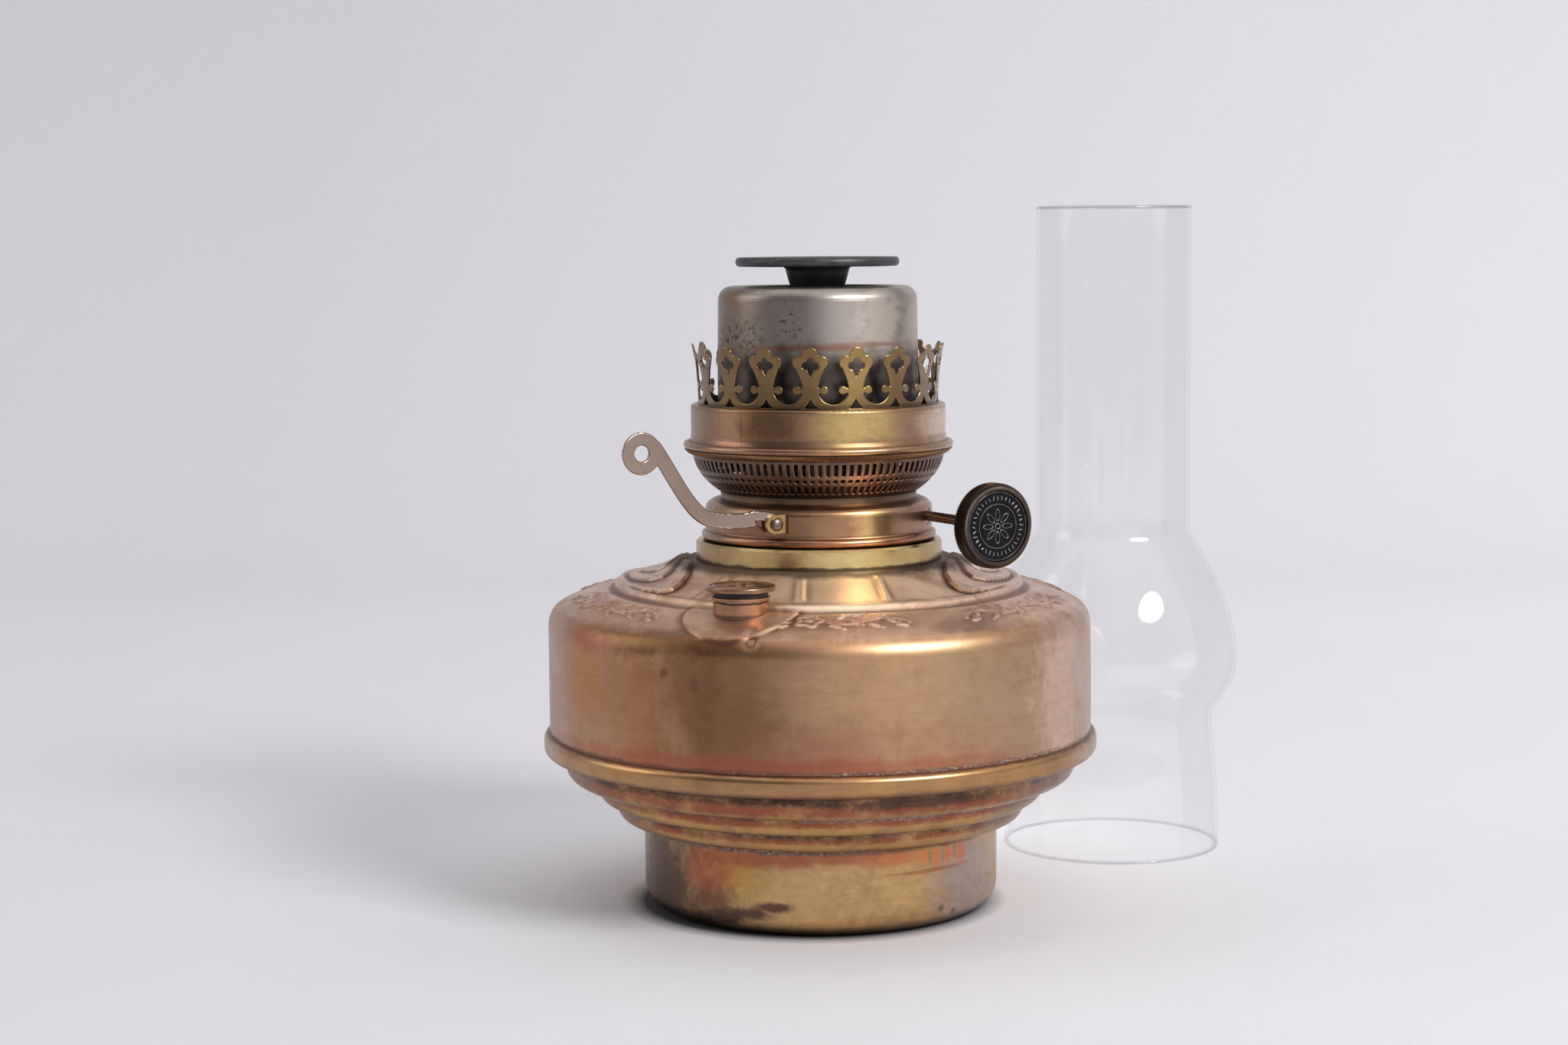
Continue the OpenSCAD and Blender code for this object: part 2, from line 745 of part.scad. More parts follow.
// Angle on the burner's floor that carries the inner end of the lever shaft, set in by the skirt
module lever_bracket() {
    low = floor_top_z - shaft_z;
    skirt_top = burner_z + skirt_web + seat_gap - shaft_z;
    inner_v = -lever_at - 2.4;
    set_in = 1.4;
    width = 7.4;
    foot = 6;
    back = crank_in - 0.4 - bracket_t;
    color("#a5824f") shaft_frame() difference() {
        union() {
            translate([inner_v, skirt_top, back]) cube([width, 3.2 - skirt_top, bracket_t]);
            translate([inner_v + set_in, low, back]) cube([width - set_in, skirt_top - low + 1, bracket_t]);
            translate([inner_v + set_in, low, back - foot]) cube([width - set_in, bracket_t, foot]);
        }
        bar(-lever_at, lever_shaft_r + run_gap, back - 2, back + 4);
    }
}

// Gallery

// Band that grips the crown: flange web, bead, fillet, straight band and rolled lip
module gallery_band() {
    web_in_r = basket_r - 2.4;
    flare = 0.4;
    color("#b98f4a") rotate_extrude() {
        translate([web_in_r, gallery_z]) square([web_r - web_in_r, web_t]);
        translate([bead_at, bead_z]) circle(r = bead_r);
        polygon(concat(
            [[band_r - band_t, gallery_z + web_t / 2], [web_r, gallery_z + web_t / 2],
             [web_r, bead_z - 0.9], [bead_at, bead_z]],
            curve_points([[band_r + flare, bead_z + 0.65 * bead_r],
                [band_r + 0.9 * flare, bead_z + 1.45 * bead_r],
                [band_r, bead_z + 1.85 * bead_r], [band_r, bead_z + 2.9 * bead_r]], 4),
            [[band_r, band_top_z - 1], [band_r - band_t, band_top_z - 1]]));
        translate([band_r - 1, band_top_z - 1]) circle(r = 1);
        translate([crown_r, band_top_z - 0.8]) square([band_r - 1 - crown_r, 0.8]);
    }
}

// Ring under the flange, milled for the fingers: a slope below and a straight rim above
module milled_ring() {
    in_r = basket_r + slide_gap;
    rim_top_z = bead_z - bead_r - run_gap;
    color("#b08b4c") rotate_extrude() polygon([[in_r, gallery_z - milled_drop],
        [in_r + 0.5, gallery_z - milled_drop], [milled_r - 0.9, gallery_z - 0.5 * milled_drop],
        [milled_r - 0.4, gallery_z], [milled_r, rim_top_z], [web_r, rim_top_z], [web_r, gallery_z],
        [in_r, gallery_z]]);
}

// Ledge inside the band that the chimney stands on, with a lip turned down beside the drum
module gallery_seat() {
    in_r = drum_r + 0.5;
    t = 0.8;
    color("#a07c46") {
        ring(band_r - band_t, in_r, crown_foot_z - t, t);
        ring(in_r + t, in_r, crown_foot_z - t - 2.2, 2.2);
    }
}

// Outline of one prong above the swags, from its waist to its three lobes
module prong_head() {
    lobe = 2.3;
    difference() {
        union() {
            polygon([[-2.8, 4.5], [2.8, 4.5], [5.1, crown_h - 6.8], [0, crown_h - 4.5],
                [-5.1, crown_h - 6.8]]);
            translate([0, crown_h - lobe]) circle(r = lobe);
            for (s = [-1, 1]) translate([s * 3.5, crown_h - 5.0]) circle(r = lobe);
            polygon([[-3.2, crown_h - 7.5], [3.2, crown_h - 7.5], [1.6, crown_h - 2.6],
                [-1.6, crown_h - 2.6]]);
        }
        for (s = [-1, 1]) translate([s * 6.0, 9.3]) circle(r = 3.75);
    }
    for (s = [-1, 1]) translate([s * 4.5, 6.4]) circle(r = 1.45);
    translate([-4.5, 5.7]) square([9, 1.4]);
}

// Spade-shaped cut-out in the head of a prong
module spade() {
    for (s = [-1, 1]) translate([s * 1.75, crown_h - 6.4]) circle(r = 1.25);
    translate([0, crown_h - 4.6]) circle(r = 0.95);
    polygon([[-2.75, crown_h - 7.1], [-1.2, crown_h - 5.8], [1.2, crown_h - 5.8],
        [2.75, crown_h - 7.1], [0, crown_h - 10.4]]);
}

// Curved triangle under a prong, between two swags
module swag_triangle() {
    difference() {
        translate([-4, 0]) square([8, 5]);
        for (s = [-1, 1]) translate([s * half_pitch, swag_z]) circle(r = swag_out);
    }
}

// Opening between two prongs, from the swag between them to above their tips
module prong_gap() {
    difference() {
        union() {
            translate([0, swag_z]) circle(r = swag_in);
            translate([-half_pitch, swag_z]) square([2 * half_pitch, crown_h]);
        }
        for (s = [-1, 1]) translate([s * half_pitch, 0]) prong_head();
    }
}

crown_path = [[crown_r, crown_foot_z], [crown_r, crown_z + 4],
    [crown_r + crown_lean * 0.35, crown_z + 13], [crown_r + crown_lean, crown_z + crown_h + 0.5]];

// Cuts a flat outline through the crown's sheet, facing outward at angle a
module crown_cut(a) {
    rotate([90, 0, crown_turn + a]) translate([0, crown_z, crown_r - 8])
        linear_extrude(14) children();
}

// Pierced crown that grips the chimney's foot: a flaring sheet cut to a row of prongs
module crown() {
    color("#a8844a") difference() {
        spun_sheet(crown_path, crown_sheet);
        for (i = [0:prongs - 1]) {
            crown_cut((i + 0.5) * 360 / prongs) prong_gap();
            crown_cut(i * 360 / prongs) swag_triangle();
            crown_cut(i * 360 / prongs) spade();
        }
    }
}

// Flame spreader

module spreader_disc() {
    edge = 0.9;
    hole_r = 1.5;
    hole_top = disc_z - 4;
    color("#2b2a2b") rotate_extrude() difference() {
        union() {
            polygon([[0, thimble_z + thimble_t], [stem_foot_r, thimble_z + thimble_t],
                [stem_top_r, disc_z], [stem_top_r, disc_z + 1], [0, disc_z + 1]]);
            polygon(concat([[0, disc_z], [disc_r - edge, disc_z]],
                arc_points(disc_r - edge, disc_z + disc_t / 2, edge, disc_t / 2, -90, 90, 8),
                [[disc_r - 4, disc_z + disc_t], [disc_r - 5, disc_z + disc_t - 0.5],
                 [0, disc_z + disc_t - 0.5]]));
        }
        translate([-1, thimble_z]) square([hole_r + 1, hole_top - thimble_z]);
    }
}

// Perforated thimble that hangs in the draught tube and spreads the air under the disc
module spreader_thimble() {
    rows = 3;
    per_row = 12;
    color("#8d7140") difference() {
        union() {
            ring(thimble_r, thimble_r - thimble_t, thimble_z - thimble_h, thimble_h);
            translate([0, 0, thimble_z]) cylinder(r = draught_r, h = thimble_t);
        }
        translate([0, 0, thimble_z - 1]) cylinder(r = 1.5, h = 3);
        for (k = [0:rows - 1], i = [0:per_row - 1])
            rotate([0, 0, (i + k / 2) * 360 / per_row])
                translate([thimble_r - 4, 0, thimble_z - 4 - 4.5 * k]) rotate([0, 90, 0])
                    cylinder(r = 1.3, h = 6);
    }
}

module spreader_screw() {
    color("#6d6a66") {
        translate([0, 0, thimble_z]) cylinder(r = 1.5, h = disc_z - 4 - thimble_z);
        translate([0, 0, thimble_z - 1.8]) cylinder(r = 3, h = 1.8);
    }
}

// Woven wick: a tube that is split below the duct so that air can cross it
module wick() {
    split_top = duct_z + duct_h + wick_travel + 0.8;
    split_w = duct_w + 1.6;
    color("#d9cfb6") difference() {
        ring(wick_out_r, wick_in_r, wick_low_z, wick_top_z - wick_low_z);
        rotate([0, 0, shaft_yaw]) translate([-split_w / 2, 0, wick_low_z - 1])
            cube([split_w, wick_out_r + 2, split_top - wick_low_z + 1]);
    }
}

// Wick winder

module winder_shaft() {
    color("#6b5a4c") shaft_frame() bar(winder_at, winder_r, -bracket_reach - 1, knob_front - 2.4);
}

// Two spurred wheels on one hub that press into the wick through the tube's slot
module winder_wheels() {
    spurs = 16;
    root_r = wheel_r - 1.5;
    hub_r = 3.2;
    color("#b5924f") shaft_frame() translate([winder_at, 0, 0]) difference() {
        union() {
            for (a = [-wheel_apart / 2 - wheel_t / 2, wheel_apart / 2 - wheel_t / 2])
                translate([0, 0, a]) linear_extrude(wheel_t) polygon(
                    [for (i = [0:2 * spurs - 1]) let (r = i % 2 == 0 ? wheel_r : root_r)
                        r * [cos(i * 180 / spurs), sin(i * 180 / spurs)]]);
            translate([0, 0, -wheel_apart / 2 - 1]) cylinder(r = hub_r, h = wheel_apart + 2);
        }
        translate([0, 0, -10]) cylinder(r = winder_r, h = 20);
    }
}

// Knurled rim with a recess for the black plate and a boss behind for the shaft
module knob_wheel() {
    edge = 1.6;
    groove = 0.45;
    boss_r = 4.2;
    boss_h = 2.5;
    color("#6e5a45") shaft_frame() translate([winder_at, 0, 0]) difference() {
        union() {
            intersection() {
                translate([0, 0, knob_back]) linear_extrude(knob_t) polygon(
                    [for (i = [0:2 * knurls - 1]) let (r = i % 2 == 0 ? knob_r : knob_r - groove)
                        r * [cos(i * 180 / knurls), sin(i * 180 / knurls)]]);
                rotate_extrude() polygon(concat([[0, knob_back]],
                    arc_points(knob_r + 0.1 - edge, knob_back + edge, edge, edge, -90, 0, 4),
                    arc_points(knob_r + 0.1 - edge, knob_front - edge, edge, edge, 0, 90, 4),
                    [[0, knob_front]]));
            }
            translate([0, 0, knob_back - boss_h]) cylinder(r = boss_r, h = boss_h + 1);
        }
        translate([0, 0, knob_front - plate_depth]) cylinder(r = plate_r, h = 4);
        translate([0, 0, knob_back - 10]) cylinder(r = winder_r, h = 10 + knob_t - 2.4);
    }
}

module knob_plate() {
    color("#1b1a1c") shaft_frame() translate([winder_at, 0, knob_front - plate_depth])
        cylinder(r = plate_r, h = plate_depth - 0.3);
}

// Extinguisher

// Middle line of the lever's strip, from the shaft to the eye
lever_line = concat(
    curve_points([[-0.152 * lever_reach, 0.09 * lever_rise],
        [-0.215 * lever_reach, 0.075 * lever_rise],
        [-0.3 * lever_reach, 0.035 * lever_rise], [-0.5 * lever_reach, 0.12 * lever_rise]], 6),
    curve_points([[-0.53 * lever_reach, 0.14 * lever_rise], [-0.65 * lever_reach, 0.24 * lever_rise],
        [-0.745 * lever_reach, 0.64 * lever_rise],
        [-lever_reach + eye_r - lever_w / 2 + 0.6, lever_rise + 1.4]], 9));

// Strip of the lever, whose end is notched below so that only its neck reaches the hub
module lever_arm() {
    hub_r = lever_shaft_r + 0.9;
    neck_at = lever_line[0];
    half = lever_w / 2;
    color("#a5937c") shaft_frame() translate([-lever_at, 0, lever_in]) difference() {
        union() {
            linear_extrude(lever_t) polygon(concat(shifted(lever_line, lever_w / 2),
                reversed(shifted(lever_line, -lever_w / 2))));
            translate([-lever_reach, lever_rise, 0]) cylinder(r = eye_r, h = lever_t);
            cylinder(r = hub_r, h = lever_t);
            linear_extrude(lever_t) polygon([neck_at + [-1, -0.45 * half],
                neck_at + [0.1, -0.35 * half], neck_at + [1.9, -0.4 * half], [-2.0, -1.4],
                [0.5, 0], [0, hub_r], [-1.1, half + 1.3], neck_at + [3.1, half - 0.3],
                neck_at + [0.2, half - 0.05], neck_at + [-1, half - 0.2]]);
        }
        translate([-lever_reach, lever_rise, -1]) cylinder(r = eye_hole_r, h = lever_t + 2);
        translate([0, 0, -1]) cylinder(r = lever_shaft_r, h = lever_t + 2);
    }
}

module lever_shaft() {
    color("#77706a") shaft_frame() difference() {
        bar(-lever_at, lever_shaft_r, crank_in - 0.4 - bracket_t - 1, screw_seat);
        bar(-lever_at, pin_r, screw_seat - 5, screw_seat + 1);
    }
}

// Crank on the lever shaft, whose pin lifts the fork of the sleeve's rod
module lever_crank() {
    hub_r = lever_shaft_r + 0.9;
    end_r = 1.7;
    color("#8c7f70") shaft_frame() translate([-lever_at, 0, crank_in]) rotate([0, 0, -crank_drop]) {
        difference() {
            linear_extrude(crank_t) union() {
                circle(r = hub_r);
                translate([crank_l, 0]) circle(r = end_r);
                polygon([[0, -hub_r + 0.6], [crank_l, -end_r], [crank_l, end_r], [0, hub_r - 0.6]]);
            }
            translate([0, 0, -1]) cylinder(r = lever_shaft_r, h = crank_t + 2);
        }
        translate([crank_l, 0, crank_t]) cylinder(r = pin_r, h = rod_at + fork_t - crank_in - crank_t);
    }
}

// Slotted round-headed screw in the end of the lever shaft
module lever_screw() {
    head_r = 2.2;
    head_h = 1.6;
    rim_h = 0.4;
    color("#8f8578") shaft_frame() difference() {
        union() {
            bar(-lever_at, pin_r, screw_seat - 5, screw_seat);
            translate([-lever_at, 0, screw_seat]) rotate_extrude() polygon(concat(
                [[0, 0], [head_r, 0]],
                arc_points(0, rim_h, head_r, head_h - rim_h, 0, 90, 6)));
        }
        translate([-lever_at, 0, screw_seat + head_h]) rotate([0, 0, 38])
            cube([6, 0.5, 1.6], center = true);
    }
}

// Sleeve round the outer wick tube that rises past the wick to put the flame out
module snuffer_sleeve() {
    lip_t = 1.0;
    color("#a4854e") {
        ring(sleeve_r, sleeve_in_r, sleeve_low_z, sleeve_top_z - sleeve_low_z);
        ring(sleeve_lip_r, sleeve_r, sleeve_low_z, lip_t);
    }
}

// Rod and fork that hang from the sleeve's lip and ride on the crank's pin
module snuffer_rod() {
    slot_half = pin_r + pin_clear;
    slot_left = -lever_at + crank_l * cos(crank_drop) - pin_r - 0.3;
    slot_right = -lever_at + crank_l + pin_r + 0.3;
    wall = 0.8;
    color("#857053") shaft_frame() {
        difference() {
            translate([slot_left - wall, fork_z - shaft_z - slot_half - wall, rod_at - fork_t / 2])
                cube([slot_right - slot_left + 2 * wall, 2 * (slot_half + wall), fork_t]);
            translate([slot_left, fork_z - shaft_z - slot_half, rod_at - fork_t])
                cube([slot_right - slot_left, 2 * slot_half, 2 * fork_t]);
        }
        translate([rod_v, 0, rod_at]) rotate([-90, 0, 0])
            translate([0, 0, fork_z - shaft_z + slot_half + wall / 2])
                cylinder(r = rod_r, h = sleeve_low_z - fork_z - slot_half - wall / 2);
    }
}

// Chimney: foot, waist, bulge and long straight tube
waist_r = glass_foot_r - glass_waist_in;
bulge_run = glass_bulge_h - glass_waist_h;
neck_run = glass_neck_h - glass_bulge_h;
chimney_path = concat(
    [[glass_foot_r, 0]],
    curve_points([[glass_foot_r, glass_foot_h],
        [glass_foot_r - 0.1 * glass_waist_in, between(glass_foot_h, glass_waist_h, 0.4)],
        [waist_r - 0.1 * glass_waist_in, between(glass_foot_h, glass_waist_h, 0.78)],
        [waist_r, glass_waist_h]], 6),
    tail(curve_points([[waist_r, glass_waist_h],
        [waist_r + 0.06 * (glass_bulge_r - waist_r), glass_waist_h + 0.25 * bulge_run],
        [glass_bulge_r, glass_waist_h + 0.4 * bulge_run], [glass_bulge_r, glass_bulge_h]], 8)),
    tail(curve_points([[glass_bulge_r, glass_bulge_h],
        [glass_bulge_r, glass_bulge_h + 0.38 * neck_run],
        [between(glass_tube_r, glass_bulge_r, 0.36), glass_bulge_h + 0.75 * neck_run],
        [glass_tube_r + 0.6, glass_bulge_h + 0.93 * neck_run]], 10)),
    [[glass_tube_r, glass_neck_h], [glass_tube_r, glass_h]]);

module chimney() {
    color([0.85, 0.9, 0.92, 0.35]) translate([glass_x, glass_y, 0])
        spun_sheet(chimney_path, glass_t);
}

font_wall();
font_deck();
font_shoulder();
font_pan();
base_cup();
neck_ring();
filler_neck();
filler_cap();
cap_gasket();
burner_collar();
burner_skirt();
burner_floor();
outer_wick_tube();
draught_tube();
draught_duct();
air_plate();
air_basket();
drum_carrier();
drum();
drum_mouth();
winder_bush();
winder_bracket();
lever_bush();
lever_keeper();
lever_bracket();
gallery_band();
milled_ring();
gallery_seat();
crown();
spreader_disc();
spreader_thimble();
spreader_screw();
wick();
winder_shaft();
winder_wheels();
knob_wheel();
knob_plate();
lever_arm();
lever_shaft();
lever_crank();
lever_screw();
snuffer_sleeve();
snuffer_rod();
chimney();
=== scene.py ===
# %% [markdown]
# # Dressing an old kerosene lamp
# The CAD model already fixes every size of this lamp, and MuJoCo moves its bodies. Here Blender
# gives the lamp its looks: raised ornament, pierced brass, worn nickel, glass and a studio.
# The frame is loaded first, because each new piece rides on one of its bodies.

# %% Load the CAD frame
import math

import bpy
import numpy as np
from mathutils import Matrix, Vector


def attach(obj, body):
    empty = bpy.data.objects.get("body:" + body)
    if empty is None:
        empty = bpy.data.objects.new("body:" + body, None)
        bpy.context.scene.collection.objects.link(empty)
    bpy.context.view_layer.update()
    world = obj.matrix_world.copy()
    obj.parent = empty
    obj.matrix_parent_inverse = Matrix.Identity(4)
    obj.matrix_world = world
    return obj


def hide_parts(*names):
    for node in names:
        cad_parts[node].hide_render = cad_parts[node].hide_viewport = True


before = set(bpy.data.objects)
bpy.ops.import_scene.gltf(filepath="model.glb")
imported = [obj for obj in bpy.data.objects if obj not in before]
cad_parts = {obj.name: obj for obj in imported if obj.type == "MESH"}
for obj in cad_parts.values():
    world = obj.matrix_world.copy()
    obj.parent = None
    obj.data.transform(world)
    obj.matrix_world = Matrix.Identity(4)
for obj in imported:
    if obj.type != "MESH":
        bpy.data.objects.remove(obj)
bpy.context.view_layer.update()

# %% [markdown]
# A photograph is matched most easily while its camera is the first thing in the file. The lens
# was worked out from the ellipses of the chimney's foot and the drum's mouth: a short telephoto
# at about one metre, a little above the burner and tipped down by six degrees.

# %% Camera at the photograph's view
scene = bpy.context.scene
scene.view_settings.view_transform = "Standard"


def add_camera(place, pitch_down, roll, lens):
    data = bpy.data.cameras.new("camera")
    data.sensor_width, data.lens = 36.0, lens
    camera = bpy.data.objects.new("camera", data)
    scene.collection.objects.link(camera)
    turn = Matrix.Rotation(math.radians(90 - pitch_down), 4, "X")
    camera.matrix_world = (Matrix.Translation(place) @ turn
                           @ Matrix.Rotation(math.radians(roll), 4, "Z"))
    return camera


scene.camera = add_camera((-0.0119, -0.9628, 0.2287), 5.81, -0.4, 64.93)

# %% [markdown]
# ## Meshes from formulas
# Nearly everything on a lamp is spun or stamped from sheet. One helper turns lists of points and
# faces into a piece that rides on its body, so that no later cell repeats that work. Sizes are
# written in millimetres, as in the workshop drawing, and become metres here.

# %% Turn points and faces into a riding piece
MM = 0.001


def add_piece(name, points, faces, body, finish, stands_for=(), crease=32):
    mesh = bpy.data.meshes.new(name)
    mesh.from_pydata((np.asarray(points, float) * MM).tolist(), [], faces)
    mesh.validate()
    mesh.shade_smooth()
    mesh.set_sharp_from_angle(angle=math.radians(crease))
    mesh.materials.append(finish)
    piece = bpy.data.objects.new(name, mesh)
    scene.collection.objects.link(piece)
    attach(piece, body)
    if stands_for:
        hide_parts(*stands_for)
    print(f"{name}: {len(mesh.polygons)} faces on {body}")
    return piece


# %% [markdown]
# A spun piece is a closed outline in radius and height, carried round the axis. Its faces are a
# grid, so a relief can be pushed into it later, point by point. A point with no radius lies on
# the axis and is shared by all the columns.

# %% Spin an outline round the axis
def arc(cx, cz, rx, rz, start, end, count):
    turn = np.radians(np.linspace(start, end, count + 1))
    return [(cx + rx * math.cos(a), cz + rz * math.sin(a)) for a in turn]


def bend(p0, p1, p2, p3, count):
    t = np.linspace(0, 1, count + 1)[:, None]
    p = [np.array(q, float) for q in (p0, p1, p2, p3)]
    made = (1 - t) ** 3 * p[0] + 3 * (1 - t) ** 2 * t * p[1] + 3 * (1 - t) * t ** 2 * p[2] + t ** 3 * p[3]
    return [tuple(q) for q in made]


def inset(path, thickness):
    """The same path moved to its left, which is the inner face of a sheet."""
    p = np.array(path, float)
    along = np.gradient(p, axis=0)
    along /= np.linalg.norm(along, axis=1)[:, None] + 1e-9
    return [tuple(q) for q in p + thickness * np.stack([-along[:, 1], along[:, 0]], 1)]


def sheet_outline(path, thickness):
    return list(path) + inset(path, thickness)[::-1]


def spin(outline, columns=256, centre=(0.0, 0.0)):
    points, faces, rows = [], [], []
    for radius, z in outline:
        if abs(radius) < 1e-6:
            rows.append([len(points)] * columns)
            points.append((centre[0], centre[1], z))
            continue
        rows.append(list(range(len(points), len(points) + columns)))
        for k in range(columns):
            a = 2 * math.pi * k / columns
            points.append((centre[0] + radius * math.sin(a), centre[1] - radius * math.cos(a), z))
    for low, high in zip(rows, rows[1:] + rows[:1]):
        for k in range(columns):
            n = (k + 1) % columns
            corners = list(dict.fromkeys((low[k], low[n], high[n], high[k])))
            if len(corners) > 2:
                faces.append(corners)
    return points, faces


# %% [markdown]
# ## Finishes
# Each finish is a node tree that works in the object's own coordinates, so it stays put when a
# body moves. A small class keeps the trees readable: every call returns a socket that the next
# call takes in.

# %% A small tool for node trees
class Finish:
    def __init__(self, name):
        self.material = bpy.data.materials.new(name)
        self.material.use_nodes = True
        self.tree = self.material.node_tree
        self.shader = self.tree.nodes["Principled BSDF"]
        self.place = self.node("ShaderNodeTexCoord").outputs["Object"]

    def node(self, kind, **settings):
        made = self.tree.nodes.new(kind)
        for key, value in settings.items():
            setattr(made, key, value)
        return made

    def plug(self, value, socket):
        if isinstance(value, bpy.types.NodeSocket):
            self.tree.links.new(value, socket)
        elif isinstance(value, (tuple, list)) and len(value) == 3 and socket.type == "RGBA":
            socket.default_value = (*value, 1.0)
        else:
            socket.default_value = value

    def set(self, **values):
        for key, value in values.items():
            self.plug(value, self.shader.inputs[key.replace("_", " ").title().replace("Ior", "IOR")])
        return self

    def stretched(self, x, y, z, place=None):
        made = self.node("ShaderNodeMapping")
        self.plug(place or self.place, made.inputs["Vector"])
        made.inputs["Scale"].default_value = (x, y, z)
        return made.outputs["Vector"]

    def noise(self, per_metre, detail=4.0, rough=0.55, place=None, twist=0.0):
        made = self.node("ShaderNodeTexNoise")
        self.plug(place or self.place, made.inputs["Vector"])
        for key, value in (("Scale", per_metre), ("Detail", detail), ("Roughness", rough),
                           ("Distortion", twist)):
            made.inputs[key].default_value = value
        return made.outputs["Fac"]

    def cells(self, per_metre, place=None, feature="F1"):
        made = self.node("ShaderNodeTexVoronoi", feature=feature)
        self.plug(place or self.place, made.inputs["Vector"])
        made.inputs["Scale"].default_value = per_metre
        return made.outputs["Distance"]

    def ramp(self, value, *stops):
        made = self.node("ShaderNodeValToRGB")
        self.plug(value, made.inputs["Fac"])
        while len(made.color_ramp.elements) < len(stops):
            made.color_ramp.elements.new(0.5)
        for element, (position, tone) in zip(made.color_ramp.elements, stops):
            element.position = position
            element.color = (tone, tone, tone, 1) if isinstance(tone, (int, float)) else (*tone, 1)
        return made.outputs["Color"]

    def mix(self, amount, below, above, blend="MIX"):
        made = self.node("ShaderNodeMix", data_type="RGBA", blend_type=blend)
        self.plug(amount, made.inputs["Factor"])
        self.plug(below, made.inputs[6])
        self.plug(above, made.inputs[7])
        return made.outputs[2]

    def sum(self, operation, a, b=0.0, clamp=False):
        made = self.node("ShaderNodeMath", operation=operation, use_clamp=clamp)
        self.plug(a, made.inputs[0])
        self.plug(b, made.inputs[1])
        return made.outputs[0]

    def axis(self, name):
        made = self.node("ShaderNodeSeparateXYZ")
        self.plug(self.place, made.inputs[0])
        return self.sum("MULTIPLY", made.outputs[name], 1000.0)

    def band(self, low, high, soft, wobble=0.0):
        """1 between two heights in millimetres, falling to 0 over soft, with a ragged edge."""
        z = self.axis("Z")
        if wobble:
            ragged = self.sum("MULTIPLY", self.sum("SUBTRACT", self.noise(160, 5), 0.5), wobble * 2)
            z = self.sum("ADD", z, ragged)
        rise = self.sum("DIVIDE", self.sum("SUBTRACT", z, low - soft), soft, clamp=True)
        fall = self.sum("DIVIDE", self.sum("SUBTRACT", high + soft, z), soft, clamp=True)
        return self.sum("MULTIPLY", rise, fall)

    def turn(self):
        """Angle round the lamp in degrees: 0 in front, 90 to the right."""
        parts = self.node("ShaderNodeSeparateXYZ")
        self.plug(self.place, parts.inputs[0])
        angle = self.sum("ARCTAN2", parts.outputs["X"], self.sum("MULTIPLY", parts.outputs["Y"], -1.0))
        return self.sum("MULTIPLY", angle, 180 / math.pi)

    def spot(self, turn, z, half_turn, half_height, strength, ragged=0.35, grain=70):
        """A patch on the wall with a ragged edge, by its angle and its height in millimetres."""
        if not hasattr(self, "kept"):
            self.kept = (self.turn(), self.axis("Z"),
                         self.sum("SUBTRACT", self.noise(grain, 9, 0.74, twist=0.6), 0.5))
        angle, height, noise = self.kept
        u = self.sum("DIVIDE", self.sum("PINGPONG", self.sum("SUBTRACT", angle, turn), 180.0), half_turn)
        v = self.sum("DIVIDE", self.sum("SUBTRACT", height, z), half_height)
        far = self.sum("SQRT", self.sum("ADD", self.sum("MULTIPLY", u, u), self.sum("MULTIPLY", v, v)))
        far = self.sum("ADD", far, self.sum("MULTIPLY", noise, 6.5 * ragged))
        near = self.sum("MULTIPLY", self.sum("SUBTRACT", 1.35, far), 1.25, clamp=True)
        return self.sum("MULTIPLY", near, strength)

    def round_place(self):
        """Angle round the lamp and height as a vector, for streaks that follow the wall.

        The back mirrors the front, so that no line shows where the angle starts again."""
        parts = self.node("ShaderNodeSeparateXYZ")
        self.plug(self.place, parts.inputs[0])
        angle = self.sum("ARCTAN2", parts.outputs["X"], self.sum("ABSOLUTE", parts.outputs["Y"]))
        made = self.node("ShaderNodeCombineXYZ")
        self.plug(angle, made.inputs[0])
        self.plug(parts.outputs["Z"], made.inputs[2])
        return made.outputs[0]

    def bump(self, height, depth_mm, base=None):
        made = self.node("ShaderNodeBump")
        self.plug(height, made.inputs["Height"])
        made.inputs["Strength"].default_value = 1.0
        made.inputs["Distance"].default_value = depth_mm * MM
        if base is not None:
            self.plug(base, made.inputs["Normal"])
        self.plug(made.outputs["Normal"], self.shader.inputs["Normal"])
        return made.outputs["Normal"]


# %% [markdown]
# Old lamp brass is never one colour. Handling polishes it to yellow, heat and air turn it copper
# pink, and brown stays where no cloth reaches. Colours are easiest to judge as a paint chart
# gives them, so a helper turns such numbers into the linear values that a metal needs.

# %% Paint-chart colours
def tone(red, green, blue, level=0.88):
    made = []
    for part in (red, green, blue):
        c = part / 255
        linear = c / 12.92 if c <= 0.04045 else ((c + 0.055) / 1.055) ** 2.4
        made.append(min(linear / level, 0.97))
    return tuple(made)


GOLD, TAN, COPPER = tone(186, 144, 92), tone(180, 144, 112), tone(166, 120, 90)
SALMON, BROWN, DARK = tone(150, 84, 62), tone(110, 78, 62), tone(58, 46, 40)
HAZE, PINK, CRUST = tone(182, 156, 142), tone(196, 158, 138), tone(172, 164, 156)
